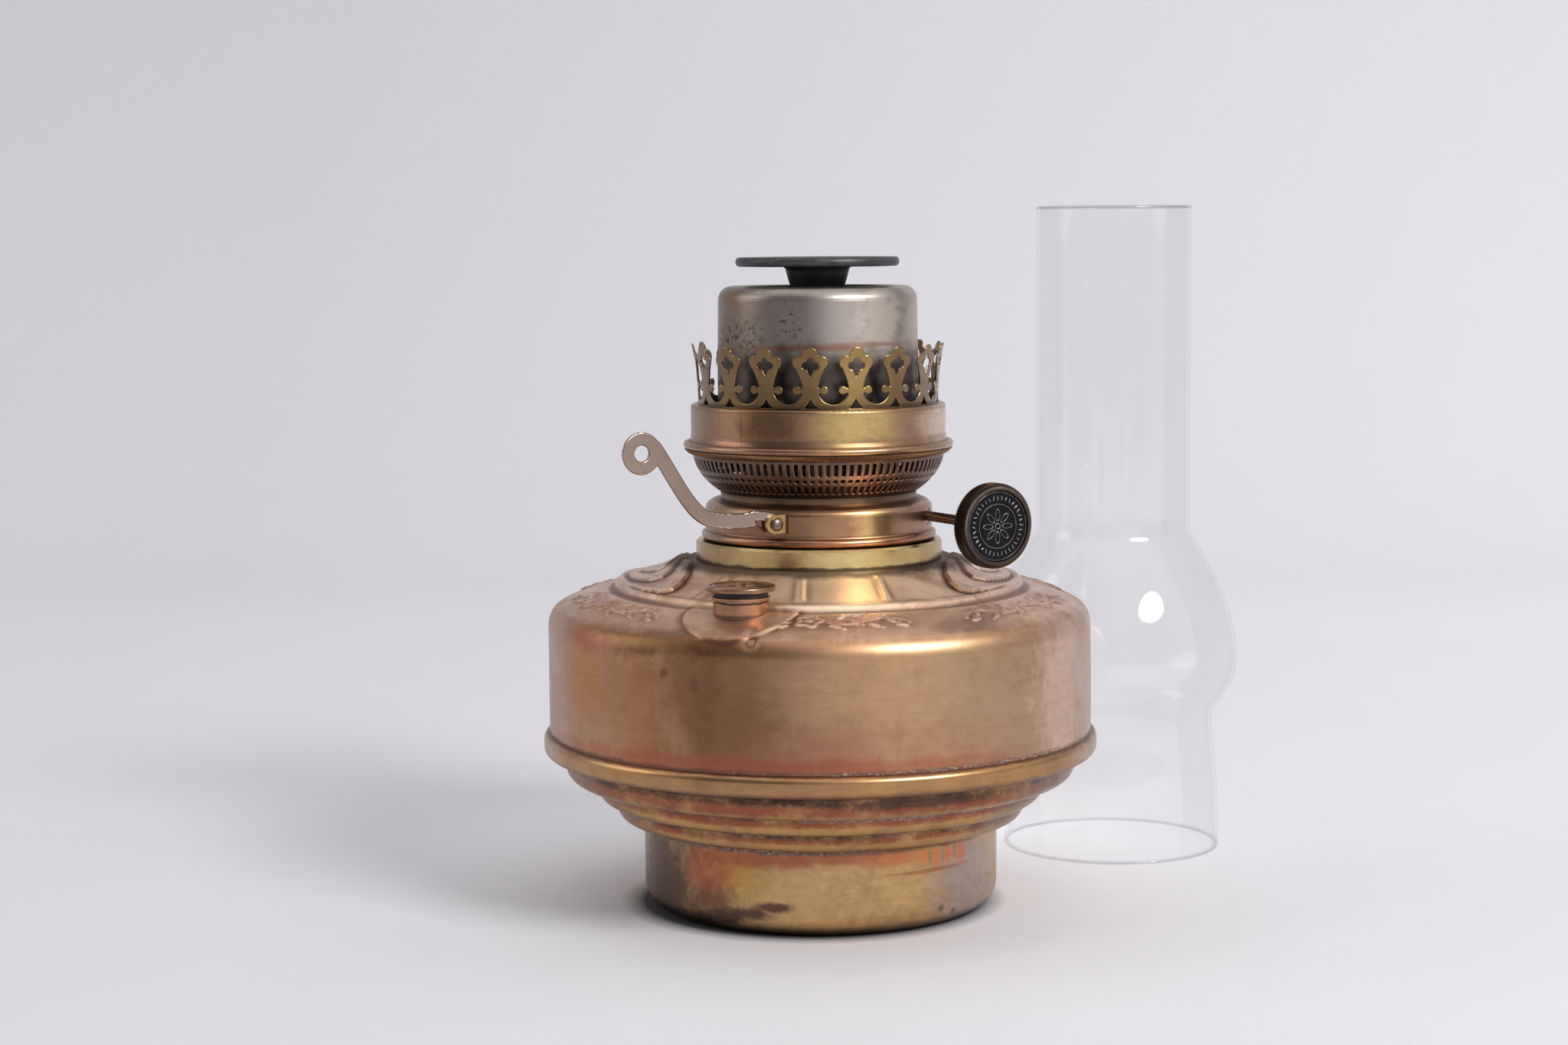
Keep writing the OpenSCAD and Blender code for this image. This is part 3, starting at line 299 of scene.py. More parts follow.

# %% [markdown]
# One recipe makes all the brass finishes: soft clouds of two colours, streaks that run down the
# wall, fine brush marks round the axis, pits, and then single spots: stains and rubbed places where
# the real piece has them, and painted reflections of the room and its lamp. Painted highlights go
# on last. Seams hold dirt, and some hold a grey crust of old solder; dark bands of the same kind
# also paint shade, as at the cup's foot. The hollows of a relief take dirt and painted shade.

# %% The recipe for aged brass
def aged_brass(name, base=TAN, light=GOLD, deep=BROWN, cloud=0.5, streak=0.35, dirt=0.2, rough=0.34,
               brush=0.010, pits=0.5, spots=(), seam_and_shade_bands=(), crusts=(), grain=70, hollows=False, dull=None,
               painted_highlights=()):
    f = Finish(name)
    turned = f.round_place()
    colour = f.mix(f.ramp(f.noise(17, 5, 0.6, twist=0.5), (0.40, 0.0), (0.62, cloud)), base, light)
    streaks = f.noise(1.0, 5, 0.6, place=f.stretched(6.5, 1.0, 12.0, turned))
    colour = f.mix(f.ramp(streaks, (0.48, 0.0), (0.72, streak)), colour, deep)
    brushed = f.noise(1.0, 6, 0.7, place=f.stretched(7.0, 1.0, 420.0, turned))
    shine = f.sum("ADD", f.sum("MULTIPLY", f.noise(60, 6, 0.6), 0.20), rough - 0.10)
    patchy = f.ramp(f.noise(1.0, 6, 0.7, place=f.stretched(4.5, 1.0, 90.0, turned)), (0.38, 0.15), (0.56, 1.0))
    for turn, z, half_turn, half_height, strength, tint in spots:
        amount = f.spot(turn, z, half_turn, half_height, strength, grain=grain)
        if half_turn > 100:
            amount = f.sum("MULTIPLY", amount, patchy)
        colour = f.mix(amount, colour, tint)
    grime = f.ramp(f.noise(48, 9, 0.72), (0.54, 0.0), (0.74, dirt))
    mottle = f.sum("MAXIMUM", f.ramp(brushed, (0.44, 0.0), (0.72, 0.34)),
                   f.ramp(f.noise(150, 8, 0.7, twist=0.8), (0.46, 0.0), (0.70, 0.30)))
    colour = f.mix(mottle, colour, deep)
    colour = f.mix(grime, colour, DARK)
    # Painted highlights: pale spots over the dirt that paint the lamp's sheen.
    for turn, z, half_turn, half_height, strength, tint in painted_highlights:
        colour = f.mix(f.spot(turn, z, half_turn, half_height, strength, grain=grain), colour, tint)
    specks = f.ramp(f.noise(420, 5, 0.7), (0.64, 0.0), (0.72, 0.55 * pits))
    colour = f.mix(specks, colour, DARK)
    shine = f.sum("ADD", shine, f.sum("MULTIPLY", grime, 0.25))
    if hollows:
        # The relief's hollows turn brown: dirt, and painted shade.
        hollow_dirt_and_shade = f.node("ShaderNodeAttribute", attribute_name="hollow").outputs["Fac"]
        colour = f.mix(f.sum("MULTIPLY", hollow_dirt_and_shade, 0.9), colour, tone(96, 64, 48))
    # Dark bands: dirt in the seams, and painted shade where a band lies in shadow.
    for low, high, soft, strength, tint in seam_and_shade_bands:
        dark_band = f.sum("MULTIPLY", f.band(low, high, soft, 1.0), strength)
        colour = f.mix(dark_band, colour, tint)
        shine = f.sum("ADD", shine, f.sum("MULTIPLY", dark_band, 0.12))
    crusted = None
    for low, high, soft, share, side in crusts:
        crust = f.sum("MULTIPLY", f.band(low, high, soft, 0.7),
                      f.ramp(f.noise(1.0, 7, 0.78, place=f.stretched(46, 1.0, 1500, turned)),
                             (share, 0.0), (share + 0.07, 0.70)))
        if side is not None:
            crust = f.sum("MULTIPLY", crust, f.spot(side, (low + high) / 2, 40, 60, 1.0))
        colour = f.mix(crust, colour, CRUST)
        crusted = crust if crusted is None else f.sum("MAXIMUM", crusted, crust)
    if dull:
        shine = f.sum("ADD", shine, f.sum("MULTIPLY", f.band(dull[0], dull[1], 2.0), dull[2]))
    f.set(base_color=colour, roughness=shine, metallic=1.0)
    if crusted is not None:
        f.plug(f.sum("SUBTRACT", 1.0, f.sum("MULTIPLY", crusted, 0.8)), f.shader.inputs["Metallic"])
    worn = f.noise(1.0, 3, 0.7, place=f.stretched(14.0, 1.0, 1000.0, turned))
    normal = f.bump(worn, brush)
    normal = f.bump(f.noise(900, 3, 0.6), 0.015 * pits, normal)
    if crusted is not None:
        f.bump(crusted, 0.10, normal)
    return f.material


# %% [markdown]
# ## Reservoir
# The top of the reservoir is one pressed sheet: a straight wall, a round crest, a sloping deck
# with a garland, and a raised shoulder with leaf lobes at the sides and three darts in front.
# The sheet is a fine grid, and formulas push the ornament out of it, so the relief casts real
# shadows.

# %% Sizes of the reservoir
FONT_R, SEAM_Z, CREST_Z, DECK_Z, COLLAR_Z = 92.7, 53.0, 96.5, 106.8, 118.7
CREST_W, CREST_H, CREST_END, RIDGE_R = 5.6, 7.5, 68, 69.5
COLLAR_R, THREAD_R, SHEET = 42.0, 36.9, 1.0
FILLER_AT, FILLER_TURN, PAD_R = 73.0, -20.7, 19.0

crest_end = arc(FONT_R - CREST_W, CREST_Z, CREST_W, CREST_H, CREST_END, CREST_END, 1)[0]
font_face = ([(FONT_R, z) for z in np.linspace(SEAM_Z + 0.5, CREST_Z, 26)]
             + arc(FONT_R - CREST_W, CREST_Z, CREST_W, CREST_H, 3, CREST_END, 22)
             + bend(crest_end, (crest_end[0] - 4.4, crest_end[1] + 2.4), (RIDGE_R + 9.5, DECK_Z + 1.1),
                    (RIDGE_R + 3.4, DECK_Z + 2.0), 34)[1:]
             + bend((RIDGE_R + 2.9, DECK_Z + 2.05), (RIDGE_R + 0.9, DECK_Z + 2.5),
                    (RIDGE_R + 0.2, DECK_Z + 4.0), (RIDGE_R - 2.6, DECK_Z + 4.4), 10)
             + bend((RIDGE_R - 3.2, DECK_Z + 4.5), (RIDGE_R - 12, DECK_Z + 6.0),
                    (COLLAR_R + 10, COLLAR_Z - 3.4), (COLLAR_R + 5.0, COLLAR_Z - 1.3), 36)
             + bend((COLLAR_R + 4.4, COLLAR_Z - 1.0), (COLLAR_R + 2.6, COLLAR_Z - 0.3),
                    (COLLAR_R + 1.4, COLLAR_Z), (COLLAR_R + 0.4, COLLAR_Z), 6)
             + [(THREAD_R + 1, COLLAR_Z)])
print(f"reservoir face: {len(font_face)} rows")


# %% Ornament as a height over the sheet
def smooth(x):
    x = np.clip(x, 0.0, 1.0)
    return x * x * (3 - 2 * x)


def rolled_edge(inside, rise=0.9, fade=7.0):
    """A petal's rim: up sharply at its edge and gently down behind it."""
    return smooth(inside / rise) * (0.30 + 0.70 * np.exp(-np.clip(inside, 0, None) / fade))


# Each petal is a radius and the angle from its middle to its edge there.
PETALS = (
    (1.5, (44, 47, 51.5, 56.7, 62, 65.5, 67.4, 68.3, 68.6), (20, 31, 38.5, 43, 45, 43.5, 38, 26, 0)),
    (1.2, (44, 46.5, 49.5, 53, 57, 60.5, 63, 65, 66), (5, 11, 20, 26, 28.5, 26, 18, 8, 0)),
    (0.8, (46, 49, 52, 55, 58, 60, 61), (2, 9, 13, 13, 9, 4, 0)))


def side_petals(turn, radius):
    height = np.zeros_like(radius)
    for middle in (91.0, -96.0):
        away = np.abs((turn - middle + 180) % 360 - 180)
        for rise, at, half in PETALS:
            slope = np.gradient(np.array(half, float), np.array(at, float))
            width = np.interp(radius, at, half, left=half[0], right=-4)
            steep = np.interp(radius, at, slope) * math.pi / 180 * radius
            inside = (width - away) * math.pi / 180 * radius / np.sqrt(1 + steep ** 2)
            height += rise * rolled_edge(inside)
    return height * smooth((radius - 43.5) / 3.0)


def rolled_ridge(turn, radius):
    """The bead that parts the shoulder from the deck, higher at the sides."""
    side = smooth((np.abs(np.abs(turn) - 92) - 62) / -30)
    bead = np.exp(-((radius - 68.7) / 0.9) ** 2) * (0.35 + 0.75 * side)
    return bead - 0.35 * np.exp(-((radius - 71.6) / 1.1) ** 2)


def front_darts(turn, radius):
    height = np.zeros_like(radius)
    for middle, twist, wide in ((-38, 0.05, 1.2), (-6.8, 0.09, 1.5), (20.8, -0.2, 1.1),
                                (143, 0.05, 1.2), (173, 0.0, 1.2), (203, -0.05, 1.2)):
        across = ((turn - middle - twist * (radius - 56) + 180) % 360 - 180) * math.pi / 180 * radius
        height += 0.75 * np.exp(-(across / wide) ** 2) * smooth((radius - 46) / 4) * smooth((67 - radius) / 5)
    return height


def ellipse(a, b, long, wide):
    return np.sqrt(np.clip(1 - (a / long) ** 2 - (b / wide) ** 2, 0, 1))


def chased_panels(turn, radius):
    """Six panels on the deck: a rosette between two leafy scrolls."""
    s = ((turn + 3 + 30) % 60 - 30) * math.pi / 180 * 80
    q = radius - 79.2
    far = np.hypot(s, q)
    spin_at = np.arctan2(q, s)
    height = (0.45 * np.exp(-((far - 3.4 - 0.7 * np.cos(5 * spin_at)) / 0.62) ** 2)
              + 0.5 * ellipse(s, q, 1.5, 1.5))
    arm = np.abs(s)
    line = 2.4 * np.sin((arm - 4) / 4.4) + 0.06 * (arm - 4)
    height = np.maximum(height, 0.42 * np.exp(-((q - line) / 0.60) ** 2)
                        * smooth((arm - 4.5) / 2) * smooth((33 - arm) / 4))
    for k, (at, off, lean) in enumerate(((8, 3.9, 0.5), (10.5, -2.4, -0.7), (14, 1.7, 0.9), (16, -3.8, -0.4), (20, 3.6, 0.6),
                                         (22.5, -1.4, -0.8), (26, 0.9, 0.9), (29, 4.2, 0.3))):
        dx, dy = arm - at, q - off
        a, b = dx * math.cos(lean) + dy * math.sin(lean), dy * math.cos(lean) - dx * math.sin(lean)
        leaf = ellipse(a, b, 2.3, 0.95 + 0.08 * (k % 3)) * (1 - 0.4 * np.exp(-(b / 0.2) ** 2))
        height = np.maximum(height, 0.7 * leaf)
        height = np.maximum(height, 0.5 * ellipse(dx - 2.6, dy + 1.5 * (1 if k % 2 else -1), 0.7, 0.7))
    return height * smooth((radius - 72.8) / 1.2) * smooth((87.0 - radius) / 1.6)


def filler_pad(x, y):
    cx = FILLER_AT * math.sin(math.radians(FILLER_TURN))
    cy = -FILLER_AT * math.cos(math.radians(FILLER_TURN))
    return PAD_R - np.hypot(x - cx, y - cy)


def font_relief(x, y, z, radius):
    turn = np.degrees(np.arctan2(x, -y))
    on_top = smooth((z - CREST_Z - 2.0) / 5.0)
    pad = smooth(filler_pad(x, y) / 1.2)
    height = side_petals(turn, radius) + front_darts(turn, radius) + rolled_ridge(turn, radius)
    height = height + chased_panels(turn, radius) * (1 - pad)
    pad_part = 0.7 * pad * smooth((radius - RIDGE_R) / 3.0)
    waves = 0.12 * np.sin(3 * np.radians(turn) + 0.06 * z) + 0.08 * np.sin(7 * np.radians(turn) - 0.11 * z)
    dent = -0.9 * np.exp(-(((turn + 14.5) * 1.55) / 2.2) ** 2 - ((z - 102.5) / 2.4) ** 2)
    return (height + pad_part) * on_top + waves * smooth((z - 55) / 6) * smooth((115 - z) / 6) + dent


# %% Press the reservoir's top
def press(outline, outer_rows, relief, columns):
    """Spins an outline, pushes its points out along their normals, and says how hollow each is."""
    path = np.array(outline, float)
    along = np.gradient(path, axis=0)
    along /= np.linalg.norm(along, axis=1)[:, None] + 1e-9
    points, faces = spin(outline, columns)
    points = np.array(points)
    grid = points[: outer_rows * columns].reshape(outer_rows, columns, 3)
    radius = np.hypot(grid[..., 0], grid[..., 1])
    height = relief(grid[..., 0], grid[..., 1], grid[..., 2], radius)
    outward = np.stack([along[:outer_rows, 1], -along[:outer_rows, 0]], 1)[:, None, :]
    for part in (0, 1):
        grid[..., part] *= 1 + height * outward[..., 0] / radius
    grid[..., 2] += height * outward[..., 1]
    around = height
    for axis, reach in ((0, 4), (1, 7)):
        around = sum(np.roll(around, k, axis=axis) for k in range(-reach, reach + 1)) / (2 * reach + 1)
    hollow = np.zeros(len(points))
    hollow[: outer_rows * columns] = np.clip((around - height) / 0.30, 0, 1).ravel()
    return points, faces, hollow


# Among the spots, the dark ones from -33° to -16° on the wall and crest paint the reflection of the room's dark
# corner, and the gold one at 9° paints the lamp's highlight. The pale deck and shoulder spots from 107.5 to 114.5 mm
# are partly the sheet's pink and partly painted sheen, and the painted highlights brighten the shoulder's front.
font_finish = aged_brass(
    "aged brass of the reservoir", hollows=True, dull=(108.0, 120.0, 0.10), base=tone(170, 130, 98), light=tone(176, 140, 108), deep=tone(128, 88, 66),
    cloud=0.7, dirt=0.14, rough=0.38,
    spots=((-74, 80, 12, 36, 0.85, tone(180, 150, 136)), (-57, 86, 8, 14, 0.7, tone(176, 124, 74)),
           (-55, 98, 9, 4, 0.6, tone(158, 96, 76)), (-39, 76, 7, 22, 0.6, tone(162, 112, 70)),
           (-33, 101, 18, 5, 0.85, tone(108, 80, 52)), (-20, 84, 15, 28, 0.42, tone(112, 68, 45)), (-16, 70, 11, 20, 0.34, tone(104, 64, 44)),
           (-26, 88, 7, 14, 0.30, tone(104, 64, 40)),
           (-4, 66, 12, 9, 0.5, tone(158, 110, 82)), (9, 88, 16, 13, 0.6, tone(186, 150, 112)),
           (32, 88, 15, 16, 0.6, tone(166, 142, 110)), (46, 74, 10, 24, 0.5, tone(170, 146, 128)),
           (58, 80, 9, 34, 0.8, tone(206, 180, 160)), (66, 70, 2.4, 16, 0.4, tone(178, 132, 100)),
           (76, 80, 12, 36, 0.8, tone(188, 168, 156)), (4, 107.5, 95, 4, 0.8, tone(222, 182, 156)), (180, 108.5, 80, 5, 0.7, PINK),
           (6, 114.5, 34, 5, 0.9, tone(236, 206, 176)), (90, 113, 36, 7, 0.78, tone(210, 188, 178)), (-96, 113, 36, 7, 0.80, tone(214, 192, 184)),
           (-14, 63, 46, 2.8, 0.7, tone(160, 92, 68)), (-38, 98, 3, 2, 0.6, BROWN), (-33, 91, 1.2, 1.5, 0.8, BROWN),
           (-26, 88, 1.0, 3.0, 0.6, BROWN)),
    painted_highlights=((0, 114.5, 62, 5, 0.50, tone(250, 208, 178)), (6, 114.5, 36, 5, 0.45, tone(255, 214, 184)),
              (8, 114.5, 24, 5, 0.35, tone(255, 224, 198))),
    seam_and_shade_bands=((117.8, 119.5, 1.2, 0.75, DARK), (58.8, 61.0, 0.9, 0.8, BROWN)),
    crusts=((59.6, 61.0, 0.5, 0.49, 34),))
font_columns = 1080
font_outline = font_face + inset(font_face, 0.8)[::-1]
points, faces, hollow = press(font_outline, len(font_face), font_relief, font_columns)
font_top = add_piece("embossed_reservoir_top", points, faces, "font", font_finish,
                     stands_for=("font_wall", "font_deck", "font_shoulder"), crease=50)
font_top.data.attributes.new("hollow", "FLOAT", "POINT").data.foreach_set("value", hollow)

# %% [markdown]
# The lower half is spun in three rounded steps above a cup that drops into a stand. A thick bead
# folds the two halves together. In its hollows lie brown stains and a grey crust of old solder,
# and the dark bands at the top of each step also paint the shade under the step above, so the
# finish knows at which heights those hollows are.

# %% Lower half with its steps and the folded bead
STEPS = ((69.8, 30.6, 37.0, 3.2), (76.3, 37.0, 44.3, 3.2), (87.3, 44.3, 53.0, 4.2))
pan_face = [(59.7, 30.6), (63.0, 30.6)]
for radius, low, high, curve in STEPS:
    pan_face += arc(radius - curve, low + curve, curve, curve, -90, 0, 12)
    pan_face += [(radius, high - 0.1)]
pan_face += [(87.3, 53.5)]
# The dark bands at 51.0, 49.6, 42.6 and 35.7 mm lie just under each step's overhang: dirt and painted shade.
pan_finish = aged_brass(
    "stained brass of the steps with painted shade", base=tone(180, 140, 92), light=tone(190, 152, 104), dirt=0.5, rough=0.32, grain=190,
    spots=((0, 48.6, 200, 2.6, 0.9, tone(132, 88, 68)), (0, 47.8, 200, 1.6, 0.85, SALMON),
           (0, 51.0, 200, 1.6, 1.0, tone(66, 48, 42)), (22, 49.6, 20, 1.9, 0.85, tone(74, 54, 48)),
           (0, 42.6, 200, 1.9, 1.0, tone(84, 62, 54)), (0, 41.2, 200, 1.1, 0.8, SALMON),
           (0, 35.7, 200, 1.8, 1.0, tone(72, 54, 48)), (0, 34.3, 200, 1.0, 0.7, SALMON),
           (62, 42, 16, 20, 0.6, tone(128, 116, 112)), (-70, 45, 14, 20, 0.6, tone(136, 104, 88))),
    seam_and_shade_bands=((52.0, 53.6, 1.2, 0.7, DARK),),
    crusts=((49.8, 51.6, 0.7, 0.56, 45), (42.4, 44.6, 0.7, 0.45, 38), (35.6, 37.0, 0.7, 0.54, None)))
points, faces = spin(sheet_outline(pan_face, 1.0), 256)
add_piece("stepped_pan", points, faces, "font", pan_finish, stands_for=("font_pan",))

bead = ([(91.7, 53.0)] + arc(92.35, 55.4, 2.4, 2.4, -90, 0, 10) + arc(92.35, 58.0, 2.4, 2.4, 0, 90, 10)
        + [(92.6, 60.4), (92.6, 53.6), (87.4, 53.6), (87.4, 53.0)])
points, faces = spin(bead, 256)
add_piece("folded_bead", points, faces, "font",
          aged_brass("rubbed brass of the bead", base=tone(168, 128, 90), light=tone(184, 146, 98), rough=0.30,
                     spots=((-76, 57, 12, 9, 0.6, HAZE), (76, 57, 14, 9, 0.6, tone(166, 148, 134))),
                     seam_and_shade_bands=((60.0, 60.8, 0.5, 0.8, BROWN), (52.6, 53.6, 1.2, 0.7, BROWN))))

# %% Cup that the lamp stands on
CUP_R, CUP_H, CUP_EDGE = 60.7, 30.6, 8.0
cup_face = ([(0, 0), (CUP_R - CUP_EDGE, 0)] + arc(CUP_R - CUP_EDGE, CUP_EDGE, CUP_EDGE, CUP_EDGE, -84, 0, 14)
            + [(CUP_R, CUP_H - 0.2)])
# The dark spot at -62° paints the reflection of the room's dark corner, and the dark band at the foot, from -1.0 to
# 1.6 mm, paints the shade where the cup meets the cloth.
cup_finish = aged_brass(
    "yellow and salmon brass of the cup", base=tone(178, 144, 100), light=tone(186, 152, 100), dirt=0.35, rough=0.33,
    grain=130,
    spots=((4, 13, 32, 13, 0.75, tone(206, 168, 120)), (-26, 20, 8, 7, 0.6, tone(190, 146, 78)),
           (-22, 26.0, 20, 3.0, 0.85, tone(156, 88, 64)), (4, 27.2, 12, 2.4, 0.8, tone(160, 92, 66)),
           (20, 26.4, 9, 3.0, 0.7, tone(176, 112, 80)), (-31, 24, 6, 5, 0.5, tone(170, 108, 62)), (-62, 14, 22, 20, 0.92, tone(88, 70, 64)),
           (-38, 19, 9, 10, 0.7, tone(164, 92, 64)), (-37, 9, 9, 7, 0.7, tone(92, 70, 60)),
           (-44, 3.5, 9, 2.6, 0.9, tone(72, 56, 52)), (-33, 5.6, 8, 2.4, 0.9, tone(74, 58, 52)),
           (-24, 8.0, 7, 2.0, 0.9, tone(78, 60, 54)), (-16, 10.5, 6, 1.5, 0.9, tone(82, 62, 56)), (56, 12, 17, 20, 0.8, tone(168, 154, 150)),
           (33, 25.5, 2.0, 3.2, 0.8, tone(210, 124, 80)), (38, 25, 1.6, 3.8, 0.75, tone(206, 120, 78)),
           (43, 25.5, 1.9, 3.4, 0.8, tone(206, 118, 78)), (49, 24.8, 2.2, 3.8, 0.75, tone(200, 114, 76)),
           (24, 26, 7, 2.4, 0.7, tone(196, 120, 80)), (36, 20.5, 14, 0.7, 0.6, SALMON),
           (35.5, 25.2, 0.7, 2.6, 0.35, BROWN), (40.6, 24.4, 0.6, 3.0, 0.3, BROWN), (46, 25.6, 0.8, 2.4, 0.4, BROWN),
           (40, 7, 1.2, 1.2, 0.7, BROWN), (46, 5, 1.1, 1.2, 0.7, BROWN)),
    seam_and_shade_bands=((28.8, 31.0, 1.4, 0.8, tone(88, 64, 54)), (-1.0, 1.6, 2.6, 0.85, tone(74, 58, 52))),
    crusts=((28.4, 30.6, 0.8, 0.47, -34), (28.6, 30.6, 0.6, 0.52, 45)))
points, faces = spin(sheet_outline(cup_face, 1.0), 256)
add_piece("drop_in_cup", points, faces, "font", cup_finish, stands_for=("base_cup",))

# %% [markdown]
# ## Collar, filler and burner body
# These are plain turned rings, and the CAD nodes already have their shapes. They only need
# better finishes, so they stay and take materials.

# %% Give a CAD node a finish
def dress(finish, *nodes):
    for name in nodes:
        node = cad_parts[name]
        node.data.materials.clear()
        node.data.materials.append(finish)


# The neck ring's bright spot in front at 6° and its darker ones at -62° and 66° paint the ring's highlight and shade.
collar_finish = aged_brass(
    "bright brass of the collar", base=tone(192, 164, 110), light=tone(216, 190, 134), deep=tone(134, 106, 70),
    dirt=0.12, rough=0.28,
    spots=((-62, 122, 24, 9, 0.7, tone(140, 112, 84)), (66, 122, 20, 9, 0.6, tone(152, 128, 98)),
           (6, 122, 14, 9, 0.5, tone(214, 190, 138))),
    seam_and_shade_bands=((117.8, 119.4, 0.6, 0.85, DARK),))
# The burner's gold spot at 26° paints the lamp's highlight, and its dark one at -34° paints the reflection of the
# room's dark corner.
burner_finish = aged_brass(
    "satin brass of the burner", base=tone(158, 122, 92), light=tone(172, 132, 94), deep=tone(110, 82, 64),
    dirt=0.2, rough=0.29,
    spots=((26, 133, 9, 8, 0.75, tone(222, 182, 126)), (-34, 132, 24, 9, 0.6, tone(116, 88, 74)),
           (58, 132, 20, 10, 0.6, tone(150, 122, 106)), (4, 127, 60, 1.6, 0.6, tone(172, 112, 84)),
           (-74, 130, 22, 12, 0.6, tone(150, 130, 116))),
    seam_and_shade_bands=((125.4, 126.2, 0.4, 0.85, DARK), (128.8, 129.6, 0.5, 0.5, BROWN), (139.6, 142.4, 0.9, 0.6, DARK)))
inner_finish = aged_brass("dull inner brass", base=tone(92, 74, 58), light=tone(110, 88, 66), deep=tone(56, 46, 40),
                          dirt=0.5, rough=0.45)
knob_finish = aged_brass("dark knurled brass", base=tone(70, 60, 55), light=tone(92, 80, 70), deep=tone(44, 38, 36),
                         dirt=0.4, rough=0.34)
cap_finish = aged_brass("brown brass of the cap", base=tone(126, 102, 78), light=tone(160, 128, 98),
                        deep=tone(76, 60, 48), dirt=0.6, rough=0.30, pits=1.0)
neck_finish = aged_brass("coppery brass of the filler", base=tone(152, 108, 82), light=tone(190, 146, 112),
                         deep=tone(92, 66, 52), dirt=0.5, rough=0.27, pits=1.0,
                         seam_and_shade_bands=((112.4, 112.9, 0.2, 0.9, DARK), (106.0, 108.6, 0.7, 0.7, DARK)))
key_finish = aged_brass("golden brass of the keeper", base=tone(158, 128, 84), light=tone(180, 146, 96), dirt=0.25,
                        rough=0.30)
dress(collar_finish, "neck_ring")
dress(burner_finish, "burner_collar", "winder_bush", "lever_bush")
dress(key_finish, "lever_keeper")
dress(inner_finish, "burner_skirt", "burner_floor", "outer_wick_tube", "draught_tube", "draught_duct",
      "air_plate", "drum_carrier", "winder_bracket", "lever_bracket", "gallery_seat",
      "spreader_thimble", "winder_wheels", "lever_crank", "snuffer_sleeve", "snuffer_rod")
dress(neck_finish, "filler_neck")

# %% [markdown]
# The filler's cap has a pressed top: a rim bead, a groove, and a star of eight petals that hands
# have rubbed. It is spun round its own axis on the deck, plug and all, and rides the cap.

# %% Press the filler's cap
CAP_Z, CAP_R, CAP_T, PLUG_R, PLUG_WALL, PLUG_H = DECK_Z + 9.2, 11.1, 2.3, 7.7, 1.2, 8.0
cap_x = FILLER_AT * math.sin(math.radians(-abs(FILLER_TURN)))
cap_y = -FILLER_AT * math.cos(math.radians(FILLER_TURN))
cap_outline = ([(PLUG_R - PLUG_WALL, CAP_Z - PLUG_H), (PLUG_R, CAP_Z - PLUG_H), (PLUG_R, CAP_Z),
                (CAP_R - 0.4, CAP_Z), (CAP_R - 0.1, CAP_Z + 0.15), (CAP_R, CAP_Z + 0.5), (CAP_R, CAP_Z + 1.2)]
               + arc(CAP_R - 0.55, CAP_Z + 1.2, 0.55, 0.55, 15, 90, 5)
               + [(r, CAP_Z + CAP_T - 0.6 + 0.6 * math.sqrt(1 - (r / (CAP_R - 0.4)) ** 2))
                  for r in np.linspace(CAP_R - 0.75, 0.1, 52)]
               + [(0.0, CAP_Z + CAP_T), (0.0, CAP_Z), (PLUG_R - PLUG_WALL, CAP_Z)])
points, faces = spin(cap_outline, 200)
points = np.array(points)
radius, spun = np.hypot(points[:, 0], points[:, 1]), np.arctan2(points[:, 0], -points[:, 1])
on_top = (points[:, 2] > CAP_Z + 1.72) & (radius < CAP_R - 0.7)
part = (spun / (math.pi / 4) + 0.5) % 1 - 0.5
petal = np.sqrt(np.clip(1 - ((radius - 4.9) / 2.4) ** 2 - (part * radius * 0.785 / 1.25) ** 2, 0, 1))
press_in = (0.34 * np.exp(-((radius - 9.2) / 0.35) ** 2) + 0.26 * np.exp(-((radius - 2.0) / 0.3) ** 2)
            + 0.30 * (1 - petal) * smooth((8.4 - radius) / 0.5) * smooth((radius - 2.3) / 0.4))
points[:, 2] -= np.where(on_top, press_in, 0)
points[:, 0] += cap_x
points[:, 1] += cap_y
add_piece("pressed_cap", points, faces, "cap", cap_finish, stands_for=("filler_cap",), crease=50)

# %% [markdown]
# ## Pierced sheet
# The basket and the crown are sheet with cut-outs. A distance field says how far each point of
# the flat sheet is from the nearest cut, and marching squares keeps what lies inside. Because
# the distance is known, the two faces can also draw together near an edge, which gives every cut
# the soft edge of stamped and tumbled metal.

# %% Keep the inside of a field
def march(field, columns, rows, wraps):
    """Field values on a grid, negative inside. Gives points in grid steps and their faces."""
    points, faces, known = [], [], {}

    def corner(i, j):
        key = (i % columns if wraps else i, j)
        if key not in known:
            known[key] = len(points)
            points.append(key)
        return known[key]

    def crossing(i, j, k, m):
        a = (i % columns if wraps else i, j)
        b = (k % columns if wraps else k, m)
        key = (a, b) if a < b else (b, a)
        if key not in known:
            t = field[a] / (field[a] - field[b])
            known[key] = len(points)
            points.append((i + (k - i) * t, j + (m - j) * t))
        return known[key]

    last = columns if wraps else columns - 1
    for i in range(last):
        for j in range(rows - 1):
            ring = ((i, j), (i + 1, j), (i + 1, j + 1), (i, j + 1))
            values = [field[p[0] % columns, p[1]] for p in ring]
            if min(values) >= 0:
                continue
            face = []
            for n in range(4):
                p, q = ring[n], ring[(n + 1) % 4]
                if values[n] < 0:
                    face.append(corner(*p))
                if (values[n] < 0) != (values[(n + 1) % 4] < 0):
                    face.append(crossing(*p, *q))
            if len(face) > 2:
                faces.append(face)
    return np.array(points, float), faces


